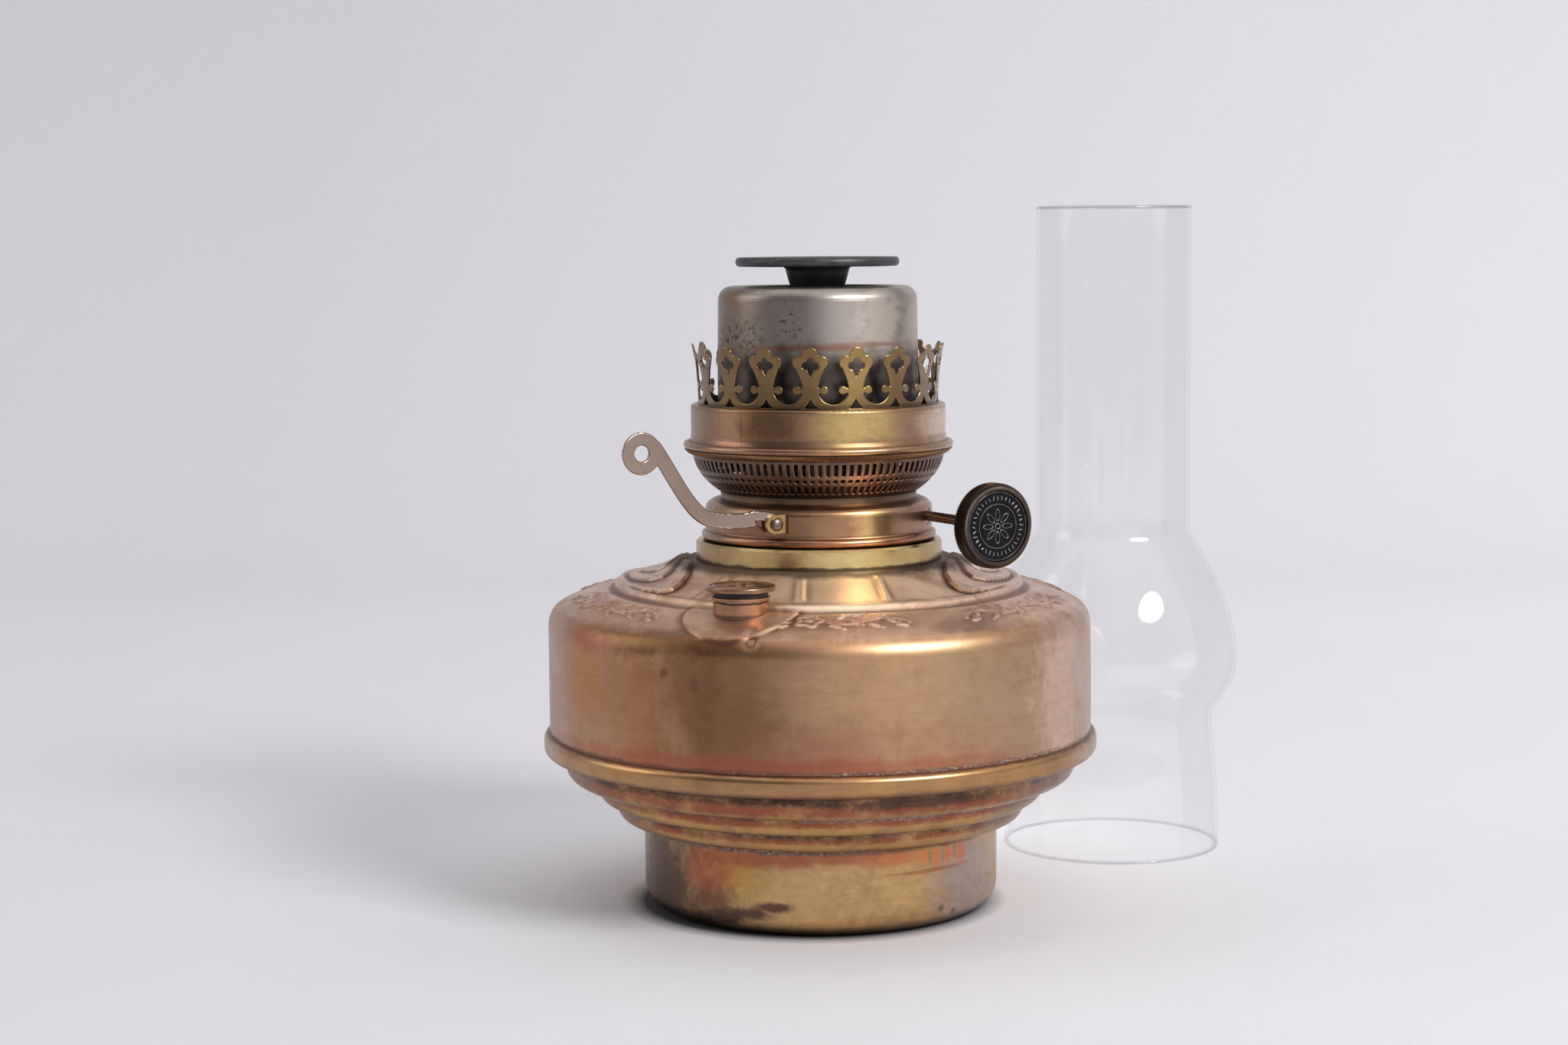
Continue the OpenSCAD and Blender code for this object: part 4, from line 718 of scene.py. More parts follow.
# %% Give the kept sheet its thickness
def thicken(outer, inner, faces):
    """Two faces of a sheet and a wall along each free edge."""
    count = len(outer)
    used = {}
    for face in faces:
        for a, b in zip(face, face[1:] + face[:1]):
            used[(a, b)] = used.get((a, b), 0) + 1
    walls = [[b, a, a + count, b + count] for a, b in used if (b, a) not in used]
    backs = [[v + count for v in reversed(face)] for face in faces]
    return np.concatenate([outer, inner]), [list(f) for f in faces] + backs + walls


def sample(grid, u, v):
    """Value of a grid between its points, for the distance at a crossing."""
    i, j = np.floor(u).astype(int), np.floor(v).astype(int)
    i1, j1 = (i + 1) % grid.shape[0], np.minimum(j + 1, grid.shape[1] - 1)
    i = i % grid.shape[0]
    s, t = u - np.floor(u), v - np.floor(v)
    return ((grid[i, j] * (1 - s) + grid[i1, j] * s) * (1 - t)
            + (grid[i, j1] * (1 - s) + grid[i1, j1] * s) * t)


def pierced_ring(field, profile, thickness, soft, columns, rows):
    """A pierced sheet of revolution. field(turn in degrees, height share) gives a distance in mm."""
    turn = np.linspace(0, 360, columns, endpoint=False)
    share = np.linspace(0, 1, rows)
    grid = field(*np.meshgrid(turn, share, indexing="ij"))
    flat, faces = march(grid, columns, rows, True)
    depth = np.clip(-sample(grid, flat[:, 0], flat[:, 1]), 0, soft) / soft
    path = np.array(profile, float)
    length = np.concatenate([[0], np.cumsum(np.linalg.norm(np.diff(path, axis=0), axis=1))])
    at = flat[:, 1] / (rows - 1) * length[-1]
    r, z = np.interp(at, length, path[:, 0]), np.interp(at, length, path[:, 1])
    slope = np.gradient(path, axis=0)
    slope /= np.linalg.norm(slope, axis=1)[:, None]
    nr, nz = np.interp(at, length, slope[:, 1]), -np.interp(at, length, slope[:, 0])
    half = thickness / 2 * np.sqrt(1 - (1 - depth) ** 2) * 0.65 + thickness / 2 * 0.35
    angle = np.radians(flat[:, 0] * 360 / columns)

    def ring_at(shift):
        rr, zz = r - thickness / 2 * nr + shift * nr, z - thickness / 2 * nz + shift * nz
        return np.stack([rr * np.sin(angle), -rr * np.cos(angle), zz], 1)

    return thicken(ring_at(half), ring_at(-half), faces)


# %% [markdown]
# ## Air basket
# Air for the flame enters through a bowl with two rows of slots and a row of small holes
# between them. A hundred slots share the pitch, and each slot narrows with the bowl. Real
# openings let the pale background shine through at the sides, as it does on the real lamp.

# %% Stamp the air basket
BASKET_Z, RIM_Z, SLOTS = 141.8, 155.8, 100
basket_profile = ([(26.4, BASKET_Z), (30.0, BASKET_Z), (32.6, BASKET_Z)]
                  + bend((33.4, BASKET_Z + 0.05), (38.0, BASKET_Z + 3.1), (42.0, BASKET_Z + 7.2),
                         (42.8, RIM_Z - 1.2), 26) + [(42.8, RIM_Z)])
basket_lengths = np.concatenate([[0], np.cumsum(np.linalg.norm(
    np.diff(np.array(basket_profile), axis=0), axis=1))])


def slot_field(turn, share):
    pitch = 360 / SLOTS
    at = share * basket_lengths[-1]
    radius = np.interp(at, basket_lengths, [p[0] for p in basket_profile])
    z = np.interp(at, basket_lengths, [p[1] for p in basket_profile])
    across = ((turn + pitch / 2) % pitch - pitch / 2) * math.pi / 180 * radius
    cuts = None
    for low, high, wide in ((149.5, 154.0, 1.2), (143.2, 146.2, 1.25)):
        d = np.maximum(np.abs(across) - wide / 2 * radius / 41,
                       np.abs(z - (low + high) / 2) * 1.15 - (high - low) / 2)
        cuts = d if cuts is None else np.minimum(cuts, d)
    dots = np.hypot(across, (z - 147.85) * 1.15) - 0.66
    return -np.minimum(cuts, dots)


basket_finish = aged_brass(
    "dark copper brown of the basket", base=tone(110, 88, 76), light=tone(130, 100, 80), deep=tone(70, 58, 52),
    dirt=0.3, rough=0.36, grain=150,
    spots=((30, 150, 16, 8, 0.6, tone(142, 106, 80)), (-20, 150, 20, 8, 0.5, tone(98, 80, 68)),
           (-66, 148, 22, 9, 0.7, tone(98, 88, 84)), (70, 148, 22, 9, 0.6, tone(112, 98, 92)),
           (0, 142.4, 200, 0.7, 0.6, tone(124, 112, 106))),
    seam_and_shade_bands=((154.9, 156.0, 0.5, 0.7, DARK),))
points, faces = pierced_ring(slot_field, basket_profile, 0.8, 0.25, SLOTS * 12, 84)
add_piece("slotted_basket", points, faces, "burner", basket_finish,
          stands_for=("air_basket",), crease=40)

# %% [markdown]
# ## Gallery
# A band carries the pierced crown, and a bead with a milled ring below it gives the fingers a
# grip to turn the gallery off. The milling is a true toothed ring with as many teeth as the
# photograph shows.

# %% Band and milled ring
BAND_R, FLANGE_R, GALLERY_Z, BAND_TOP = 43.4, 46.0, 156.0, 171.7
# The dark spot at -22° paints the reflection of the room's dark corner, and the light ones at 16° and 70° paint
# highlights.
gallery_finish = aged_brass(
    "satin brass of the gallery", base=tone(166, 132, 100), light=tone(178, 142, 106), deep=tone(118, 88, 66),
    dirt=0.2, rough=0.29,
    spots=((-68, 166, 22, 9, 0.8, tone(140, 118, 100)), (-46, 166, 9, 8, 0.6, tone(160, 114, 96)),
           (-22, 166, 13, 9, 0.85, tone(102, 74, 50)), (16, 166, 20, 8, 0.85, tone(200, 170, 112)),
           (46, 166, 12, 9, 0.6, tone(148, 120, 98)), (70, 166, 20, 9, 0.85, tone(216, 194, 174)),
           (0, 161, 200, 1.3, 0.6, tone(150, 112, 92)), (0, 158, 200, 1.4, 0.6, tone(146, 114, 98)),
           (-36.5, 166, 0.4, 9, 0.5, DARK)),
    seam_and_shade_bands=((159.1, 159.6, 0.5, 0.4, BROWN), (170.6, 172.4, 0.5, 0.35, BROWN)))
dress(gallery_finish, "gallery_band")

MILLING, MILL_LOW, MILL_TOP, MILL_R = 330, GALLERY_Z - 1.15, GALLERY_Z + 0.7, 45.6
outline = [(43.1, MILL_LOW), (43.6, MILL_LOW), (44.7, MILL_LOW + 0.58), (45.2, GALLERY_Z),
           (MILL_R, GALLERY_Z + 0.35), (MILL_R, MILL_TOP), (44.0, MILL_TOP), (44.0, GALLERY_Z), (43.1, GALLERY_Z)]
points, faces = spin(outline, MILLING * 4)
points = np.array(points)
radius = np.hypot(points[:, 0], points[:, 1])
valley = np.tile([1.0, 0.15, 0.0, 0.6], len(points) // 4)
points[:, :2] *= (1 - np.where(radius > 44.4, 0.42 * valley, 0) / radius)[:, None]
add_piece("milled_grip", points, faces, "gallery",
          aged_brass("rubbed brass of the milling", base=tone(140, 112, 88), light=tone(164, 134, 102), dirt=0.3,
                     rough=0.3), stands_for=("milled_ring",))

# %% [markdown]
# The crown springs against the chimney's foot. Seventeen prongs stand on swags, and each ends in
# three lobes round a spade-shaped hole. The outline comes from circles and smooth unions, the
# way such a stamping die was drawn.

# %% Draw one prong as a distance field
CROWN_R, CROWN_H, CROWN_SHEET, PRONGS, CROWN_TURN = 40.9, 21.0, 0.7, 17, -4.2
CROWN_FOOT, SWAG_Z, SWAG_OUT, SWAG_IN = 168.3, 6.9, 8.3, 5.1
HALF_PITCH = CROWN_R * math.tan(math.pi / PRONGS)


def disc(x, y, cx, cy, r):
    return np.hypot(x - cx, y - cy) - r


def soft_union(a, b, k=0.5):
    h = np.clip(0.5 + 0.5 * (b - a) / k, 0, 1)
    return b * (1 - h) + a * h - k * h * (1 - h)


def stroke(x, y, ax, ay, bx, by, r0, r1):
    """Distance to a tapered bar with round ends."""
    px, py, dx, dy = x - ax, y - ay, bx - ax, by - ay
    t = np.clip((px * dx + py * dy) / (dx * dx + dy * dy), 0, 1)
    return np.hypot(px - t * dx, py - t * dy) - (r0 + (r1 - r0) * t)


def prong(x, y):
    s = np.abs(x)
    head = soft_union(disc(s, y, 3.45, CROWN_H - 5.2, 2.35), disc(s, y, 0, CROWN_H - 2.5, 2.5), 0.35)
    head = soft_union(head, disc(s, y, 0, CROWN_H - 6.4, 4.4), 0.4)
    neck = stroke(s, y, 0.35, 6.0, 1.5, CROWN_H - 7.2, 1.75, 2.6)
    body = soft_union(head, neck, 1.3)
    knobs = soft_union(stroke(s, y, 0, 6.4, 4.4, 6.5, 1.0, 0.75), disc(s, y, 4.5, 6.5, 1.45), 0.3)
    body = soft_union(body, knobs, 0.5)
    spade = soft_union(disc(s, y, 1.55, CROWN_H - 6.3, 1.25), disc(s, y, 0, CROWN_H - 4.7, 1.05), 0.3)
    spade = soft_union(spade, stroke(s, y, 0, CROWN_H - 7.2, 0, CROWN_H - 9.6, 1.3, 0.15), 0.6)
    return np.maximum(body, -spade)


def crown_field(turn, share):
    pitch = 360 / PRONGS
    local = (turn - CROWN_TURN + pitch / 2) % pitch - pitch / 2
    x = local / (pitch / 2) * HALF_PITCH
    y = share * (CROWN_H + BAND_TOP - CROWN_FOOT) - (BAND_TOP - CROWN_FOOT)
    s = np.abs(x)
    swag = np.maximum(disc(s, y, HALF_PITCH, SWAG_Z, SWAG_OUT), -disc(s, y, HALF_PITCH, SWAG_Z, SWAG_IN))
    swag = np.maximum(swag, y - SWAG_Z - 0.3)
    foot = np.maximum(y - 0.5, -60)
    return soft_union(soft_union(swag, prong(x, y), 0.35), foot, 0.3)


# %% Stamp the crown
crown_profile = ([(CROWN_R, z) for z in np.linspace(CROWN_FOOT, BAND_TOP + 2, 8)]
                 + bend((CROWN_R, BAND_TOP + 2.6), (CROWN_R + 0.1, BAND_TOP + 9), (CROWN_R + 0.8, BAND_TOP + 15),
                        (CROWN_R + 2.1, BAND_TOP + CROWN_H - 0.6), 30))
# The gold spot at 14° paints the lamp's highlight on the prongs.
crown_finish = aged_brass(
    "handled brass of the crown", base=tone(122, 98, 66), light=tone(138, 110, 72), deep=tone(92, 72, 54),
    dirt=0.3, rough=0.27, grain=110,
    spots=((14, 184, 11, 14, 0.8, tone(164, 134, 84)), (-76, 184, 26, 16, 0.75, tone(134, 118, 108)),
           (-36, 184, 10, 12, 0.5, tone(136, 104, 80)), (70, 184, 24, 16, 0.7, tone(146, 130, 116)),
           (180, 184, 80, 16, 0.5, tone(140, 116, 88))),
    seam_and_shade_bands=((171.0, 172.6, 0.6, 0.6, DARK),))
points, faces = pierced_ring(crown_field, crown_profile, CROWN_SHEET, 0.35, PRONGS * 68, 108)
add_piece("pierced_crown", points, faces, "gallery", crown_finish,
          stands_for=("crown",), crease=45)

# %% [markdown]
# ## Drum, wick and flame spreader
# The drum wraps the wick tubes. Its nickel has gone cloudy and speckled with soot, and below the
# crown's tips the heat has brought out the copper. Inside the crown it is painted dark as shade,
# and its dark spots at the left and bright ones right of the front are painted reflections. The
# spreader is black scaled iron.

# %% Worn nickel of the drum
def worn_nickel(name):
    f = Finish(name)
    turned = f.round_place()
    cloud = f.noise(30, 6, 0.62, twist=0.4)
    colour = f.mix(f.ramp(cloud, (0.36, 0.0), (0.64, 1.0)), tone(156, 147, 139), tone(132, 123, 115))
    # The dark spots at -66° and -36° and the bright ones at 12°, 38° and 72° are painted reflections; the salmon
    # streaks are heat colour.
    for turn, z, half_turn, half_height, strength, tint in (
            (-66, 200, 26, 16, 0.85, tone(122, 104, 92)), (-36, 199, 12, 14, 0.6, tone(130, 117, 106)),
            (-60, 207, 7, 2.5, 0.6, tone(130, 100, 80)), (12, 202, 15, 12, 0.8, tone(167, 158, 152)),
            (38, 198, 14, 14, 0.75, tone(198, 186, 174)), (72, 198, 16, 16, 0.7, tone(184, 170, 158)),
            (-8, 191.5, 34, 1.1, 0.8, tone(140, 96, 80)), (30, 192.5, 26, 0.9, 0.7, tone(150, 112, 94)),
            (180, 190, 90, 14, 0.5, tone(140, 120, 104))):
        colour = f.mix(f.spot(turn, z, half_turn, half_height, strength, grain=150), colour, tint)
    # Painted shade: the drum is dark below 186 mm, where it stands inside the crown.
    low = f.band(120.0, 186.0, 4.5, 3.0)
    colour = f.mix(f.sum("MULTIPLY", low, 0.9), colour, tone(74, 66, 62))
    patches = f.sum("ADD", f.spot(-16, 200, 8, 9, 0.9), f.spot(-50, 194, 24, 8, 0.8), clamp=True)
    patches = f.sum("MAXIMUM", patches, f.ramp(f.noise(34, 4, 0.7), (0.50, 0.0), (0.70, 0.7)))
    specks = f.sum("MULTIPLY", f.ramp(f.noise(520, 8, 0.8), (0.49, 0.0), (0.60, 1.0)), patches)
    colour = f.mix(specks, colour, tone(48, 42, 40))
    shine = f.sum("ADD", f.sum("MULTIPLY", cloud, 0.20), 0.24)
    shine = f.sum("ADD", shine, f.sum("MULTIPLY", specks, 0.3))
    f.set(base_color=colour, roughness=shine, metallic=1.0)
    scratches = f.noise(1.0, 3, 0.7, place=f.stretched(16, 1, 700, turned))
    f.bump(specks, 0.03, f.bump(scratches, 0.008))
    return f.material


drum_finish = worn_nickel("worn nickel of the drum")
dress(drum_finish, "drum", "drum_mouth")


# %% Black iron of the spreader
def scaled_iron(name, tone=(0.043, 0.041, 0.043)):
    f = Finish(name)
    scale = f.noise(180, 8, 0.7)
    f.set(base_color=f.mix(f.ramp(scale, (0.35, 0.0), (0.7, 1.0)), tone, tuple(2.2 * c for c in tone)),
          roughness=f.sum("ADD", f.sum("MULTIPLY", scale, 0.25), 0.33), metallic=0.75)
    f.bump(scale, 0.10, f.bump(f.noise(1400, 3, 0.6), 0.03))
    return f.material


iron_finish = scaled_iron("black scaled iron")
DRUM_TOP, DISC_Z, DISC_R, STEM_TOP, STEM_FOOT = 211.5, 218.0, 27.8, 10.9, 8.1
spreader = ([(0, 206.6), (STEM_FOOT, 206.6)] + bend((STEM_FOOT, 206.8), (8.6, 210), (10.2, 214), (STEM_TOP, 217.2), 10)
            + [(11.6, 217.9), (13.5, DISC_Z)] + [(DISC_R - 1.2, DISC_Z + 0.05)]
            + arc(DISC_R - 1.15, DISC_Z + 1.6, 1.15, 1.55, -86, 86, 14)
            + [(DISC_R - 3.0, DISC_Z + 3.1), (DISC_R - 4.4, DISC_Z + 2.75), (6, DISC_Z + 2.65), (0, DISC_Z + 2.65)])
points, faces = spin(spreader, 200)
add_piece("iron_spreader", points, faces, "spreader", iron_finish, stands_for=("spreader_disc",))
steel = aged_brass("dull steel", base=tone(124, 104, 92), light=tone(142, 118, 102), deep=tone(82, 68, 60),
                   dirt=0.3, rough=0.33)
screw_steel = aged_brass("rubbed steel of the screw", base=tone(112, 98, 88), light=tone(136, 120, 108),
                         deep=tone(70, 58, 50), dirt=0.5, rough=0.42)
dress(steel, "spreader_screw", "winder_shaft", "lever_shaft")


# %% [markdown]
# The wick is a woven tube. Only its charred end shows, from above, between the drum's mouth and
# the spreader. The weave is two crossed waves round the tube.

# %% Woven wick with a charred end
def woven_cotton(name):
    f = Finish(name)
    turned = f.round_place()
    warp = f.node("ShaderNodeTexWave", wave_type="BANDS", bands_direction="X")
    f.plug(turned, warp.inputs["Vector"])
    warp.inputs["Scale"].default_value = 24.0
    weft = f.node("ShaderNodeTexWave", wave_type="BANDS", bands_direction="Z")
    f.plug(f.place, weft.inputs["Vector"])
    weft.inputs["Scale"].default_value = 420.0
    weave = f.sum("MULTIPLY", warp.outputs["Fac"], weft.outputs["Fac"])
    colour = f.mix(weave, (0.50, 0.44, 0.34), (0.78, 0.73, 0.62))
    charred = f.band(198.0, 215.0, 5.0, 2.5)
    f.set(base_color=f.mix(charred, colour, (0.03, 0.025, 0.022)), roughness=0.95, metallic=0.0)
    f.bump(weave, 0.25)
    return f.material


dress(woven_cotton("woven cotton"), "wick")
leather = Finish("oiled leather")
grain = leather.cells(700)
leather.set(base_color=leather.mix(grain, (0.012, 0.010, 0.009), (0.035, 0.027, 0.022)), roughness=0.7)
leather.bump(grain, 0.1)
dress(leather.material, "cap_gasket")

# %% [markdown]
# ## Lever, knob and screws
# The extinguisher lever is a flat strip of nickel-plated brass, bent in an S and ending in an
# eye. The same distance field as the crown's gives it soft edges. The strip lies in the plane of
# the two shafts, thirty degrees round from the front.

# %% Frame of the two shafts
YAW = math.radians(30)
ACROSS = np.array([math.cos(YAW), math.sin(YAW), 0.0])
OUTWARD = np.array([math.sin(YAW), -math.cos(YAW), 0.0])
UP = np.array([0.0, 0.0, 1.0])
SHAFT_Z, LEVER_AT, WINDER_AT = 134.0, -31.55, 25.3


def on_shafts(v, up, out):
    v, up, out = (np.asarray(c, float)[..., None] for c in (v, up, out))
    return v * ACROSS + (up + SHAFT_Z) * UP + out * OUTWARD


# %% Stamp the lever
REACH, RISE, STRIP_W, EYE_R, EYE_HOLE, LEVER_IN, LEVER_T = 48.7, 25.4, 5.0, 6.9, 2.6, 23.71, 1.2
NECK_AT = (-0.152 * REACH, 0.09 * RISE)
lever_line = np.array(
    bend(NECK_AT, (-0.215 * REACH, 0.075 * RISE), (-0.30 * REACH, 0.035 * RISE), (-0.5 * REACH, 0.12 * RISE), 14)
    + bend((-0.515 * REACH, 0.13 * RISE), (-0.65 * REACH, 0.24 * RISE), (-0.745 * REACH, 0.64 * RISE),
           (-REACH + EYE_R - STRIP_W / 2 + 0.6, RISE + 1.4), 18))


def lever_field(x, y):
    away = np.full(x.shape, 99.0)
    for (ax, ay), (bx, by) in zip(lever_line[:-1], lever_line[1:]):
        away = np.minimum(away, stroke(x, y, ax, ay, bx, by, STRIP_W / 2, STRIP_W / 2))
    away = np.maximum(away, 0.96 * (x - NECK_AT[0]) + 0.28 * (y - NECK_AT[1]))
    neck = stroke(x, y, NECK_AT[0] - 0.6, 3.1, -4.0, 2.95, 1.62, 1.55)
    neck = soft_union(neck, stroke(x, y, -4.0, 2.9, -0.9, 1.6, 1.55, 2.2), 0.4)
    away = soft_union(away, disc(x, y, -REACH, RISE, EYE_R), 0.6)
    away = soft_union(np.minimum(away, neck), disc(x, y, 0, 0, 2.6), 0.3)
    return np.maximum(np.maximum(away, -disc(x, y, -REACH, RISE, EYE_HOLE)), -disc(x, y, 0, 0, 1.7))


step = 0.3
xs, ys = np.arange(-REACH - EYE_R - 1, 5, step), np.arange(-5, RISE + EYE_R + 1.5, step)
grid = lever_field(*np.meshgrid(xs, ys, indexing="ij"))
flat, faces = march(grid, len(xs), len(ys), False)
depth = np.clip(-sample(grid, flat[:, 0], flat[:, 1]), 0, 0.35) / 0.35
half = LEVER_T / 2 * (0.3 + 0.7 * np.sqrt(1 - (1 - depth) ** 2))
x, y = xs[0] + flat[:, 0] * step, ys[0] + flat[:, 1] * step
middle = LEVER_IN + LEVER_T / 2
points, faces = thicken(on_shafts(LEVER_AT + x, y, middle + half), on_shafts(LEVER_AT + x, y, middle - half), faces)


def rubbed_plate(name):
    """Nickel that is worn through to brass along the lever."""
    f = Finish(name)
    patch = f.ramp(f.noise(38, 6, 0.6, twist=0.5), (0.42, 0.0), (0.70, 0.8))
    colour = f.mix(patch, tone(150, 133, 123), tone(128, 106, 90))
    colour = f.mix(f.spot(-53, 136, 5, 6, 0.85, grain=160), colour, tone(116, 84, 72))
    specks = f.ramp(f.noise(300, 8, 0.75), (0.58, 0.0), (0.70, 0.7))
    f.set(base_color=f.mix(specks, colour, tone(100, 80, 66)), metallic=1.0,
          roughness=f.sum("ADD", f.sum("MULTIPLY", patch, 0.12), 0.28))
    f.bump(f.noise(1.0, 3, 0.7, place=f.stretched(1500, 90, 300)), 0.008, f.bump(specks, 0.03))
    return f.material


lever_finish = rubbed_plate("nickel worn through to brass")
add_piece("flat_lever", points, faces, "lever", lever_finish, stands_for=("lever_arm",), crease=45)
dress(screw_steel, "lever_screw")

# %% [markdown]
# The knob's face is a black pressed plate. The real one names its maker, so here the ring of
# letters gives way to a ring of beads, and the middle carries a plain rosette. The relief is
# pushed into a fine round grid.

# %% Press the knob's face
KNOB_FRONT, KNOB_BACK, KNOB_R, PLATE_R = 71.75, 65.25, 14.0, 11.6


def plate_relief(radius, angle):
    ring_a = 0.8 * np.exp(-((radius - 11.1) / 0.16) ** 2)
    ring_b = np.exp(-((radius - 7.2) / 0.16) ** 2)
    pitch = 2 * math.pi / 36
    count = np.floor((angle + pitch / 2) / pitch)
    local = ((angle + pitch / 2) % pitch - pitch / 2) * 9.2
    lean = 0.35 * np.sin(2.4 * count)
    bead = ellipse(local - lean * (radius - 9.2), radius - 9.2, 0.30, 0.95 + 0.2 * np.sin(5.1 * count))
    petal_pitch = 2 * math.pi / 8
    off = (angle + petal_pitch / 2) % petal_pitch - petal_pitch / 2
    px, py = radius * np.cos(off), radius * np.sin(off)
    rim = np.hypot((px - 3.7) / 1.9, py / 0.8)
    petal = 0.85 * np.exp(-((rim - 1) / 0.16) ** 2)
    eye = np.exp(-((radius - 0.9) / 0.2) ** 2)
    return 0.22 * np.maximum.reduce([ring_a, ring_b, bead, petal, eye])


rings, columns = 96, 480
radii = np.linspace(0.05, PLATE_R - 0.05, rings)
angles = np.linspace(0, 2 * math.pi, columns, endpoint=False)
rr, aa = np.meshgrid(radii, angles, indexing="ij")
front = KNOB_FRONT - 0.62 + plate_relief(rr, aa)
points = on_shafts(WINDER_AT + rr * np.cos(aa), rr * np.sin(aa), front).reshape(-1, 3)
rim = on_shafts(WINDER_AT + (PLATE_R - 0.05) * np.cos(angles), (PLATE_R - 0.05) * np.sin(angles),
                np.full(columns, KNOB_FRONT - 1.2))
points = np.concatenate([points, rim, on_shafts([WINDER_AT], [0.0], [KNOB_FRONT - 1.2])])
faces = []
for i in range(rings):
    for k in range(columns):
        n = (k + 1) % columns
        faces.append([i * columns + k, i * columns + n, (i + 1) * columns + n, (i + 1) * columns + k])
faces.append(list(range(columns))[::-1])
for k in range(columns):
    faces.append([rings * columns + k, rings * columns + (k + 1) % columns, len(points) - 1])


def black_press(name):
    """Black in the field and rubbed silver on the raised lines, told apart by a point attribute."""
    f = Finish(name)
    raised = f.node("ShaderNodeAttribute", attribute_name="raised").outputs["Fac"]
    dust = f.ramp(f.noise(300, 8, 0.75), (0.58, 0.0), (0.80, 0.25))
    field = f.mix(dust, (0.006, 0.006, 0.007), (0.05, 0.047, 0.045))
    rubbed = f.ramp(f.sum("ADD", raised, f.sum("MULTIPLY", f.noise(420, 4, 0.7), 0.5)), (0.80, 0.0), (1.20, 1.0))
    f.set(base_color=f.mix(rubbed, field, (0.21, 0.20, 0.19)), metallic=f.sum("MULTIPLY", rubbed, 0.6),
          roughness=f.sum("ADD", f.sum("MULTIPLY", dust, 0.4), 0.24))
    f.shader.inputs["Specular IOR Level"].default_value = 0.08
    f.bump(f.noise(700, 4, 0.6), 0.015)
    return f.material


plate = add_piece("pressed_knob_face", points, faces, "winder", black_press("black pressed plate"),
                  stands_for=("knob_plate",), crease=60)
raised = np.zeros(len(plate.data.vertices))
raised[: rings * columns] = (plate_relief(rr, aa) / 0.22).ravel()
plate.data.attributes.new("raised", "FLOAT", "POINT").data.foreach_set("value", raised)

# %% [markdown]
# The knob's rim is knurled so finely that the grooves almost merge. The rim is spun round the
# shaft's own axis, and every second column is drawn in by a third of a millimetre.

# %% Knurl the knob's rim
KNURLS = 132
rim_outline = ([(1.7, KNOB_BACK - 2.5), (4.0, KNOB_BACK - 2.5), (4.2, KNOB_BACK - 2.2), (4.2, KNOB_BACK)]
               + arc(KNOB_R - 1.6, KNOB_BACK + 1.6, 1.6, 1.6, -90, 0, 5)
               + arc(KNOB_R - 1.7, KNOB_FRONT - 1.7, 1.7, 1.7, 0, 84, 6)
               + [(PLATE_R + 0.15, KNOB_FRONT - 0.02), (PLATE_R, KNOB_FRONT - 0.2), (PLATE_R, KNOB_FRONT - 1.2),
                  (1.7, KNOB_FRONT - 1.2)])
points, faces = spin(rim_outline, KNURLS * 4)
points = np.array(points)
radius = np.hypot(points[:, 0], points[:, 1])
groove = np.tile([0.0, 0.55, 1.0, 0.55], len(points) // 4)
points[:, :2] *= (1 - np.where(radius > KNOB_R - 1.75, 0.42 * groove, 0) / radius)[:, None]
points = on_shafts(WINDER_AT + points[:, 0], points[:, 1], points[:, 2])
add_piece("knurled_knob", points, faces, "winder", knob_finish, stands_for=("knob_wheel",), crease=40)

# %% [markdown]
# ## Glass chimney
# The chimney stands beside the lamp. Clear glass needs real thickness and polished, rounded
# rims, or it looks like film. Its section is one closed outline with a round lip at both ends.

# %% Blow the chimney
GLASS_X, GLASS_Y, GLASS_T = 110.6, 87.2, 1.5
FOOT_R, WAIST_R, BULGE_R, TUBE_R, GLASS_H = 40.0, 37.4, 46.4, 28.5, 238.5
glass_face = ([(FOOT_R, z) for z in np.linspace(0.75, 11.5, 4)]
              + bend((FOOT_R, 12), (FOOT_R - 0.26, 27.2), (WAIST_R - 0.26, 41.6), (WAIST_R, 50), 20)
              + bend((WAIST_R, 50), (WAIST_R + 0.54, 55.25), (BULGE_R, 58.4), (BULGE_R, 71), 24)[1:]
              + bend((BULGE_R, 71), (BULGE_R, 90), (34.9, 108.5), (TUBE_R + 0.6, 117.5), 30)[1:]
              + [(TUBE_R + 0.2, 119.5), (TUBE_R, 121.5)]
              + [(TUBE_R, z) for z in np.linspace(126, GLASS_H - 0.75, 10)])
inner = inset(glass_face, GLASS_T)
lip_top = arc(TUBE_R - GLASS_T / 2, GLASS_H - 0.75, 0.75, 0.75, 20, 160, 7)
lip_low = arc(FOOT_R - GLASS_T / 2, 0.75, 0.75, 0.75, 200, 340, 7)
points, faces = spin(glass_face + lip_top + inner[::-1] + lip_low, 320, (GLASS_X, GLASS_Y))
glass = Finish("clear thin glass")
glass.set(base_color=(0.99, 0.99, 0.99), roughness=0.0, ior=1.45)
glass.shader.inputs["Transmission Weight"].default_value = 1.0
edge = glass.node("ShaderNodeLayerWeight")
edge.inputs["Blend"].default_value = 0.35
clear = glass.node("ShaderNodeBsdfTransparent")
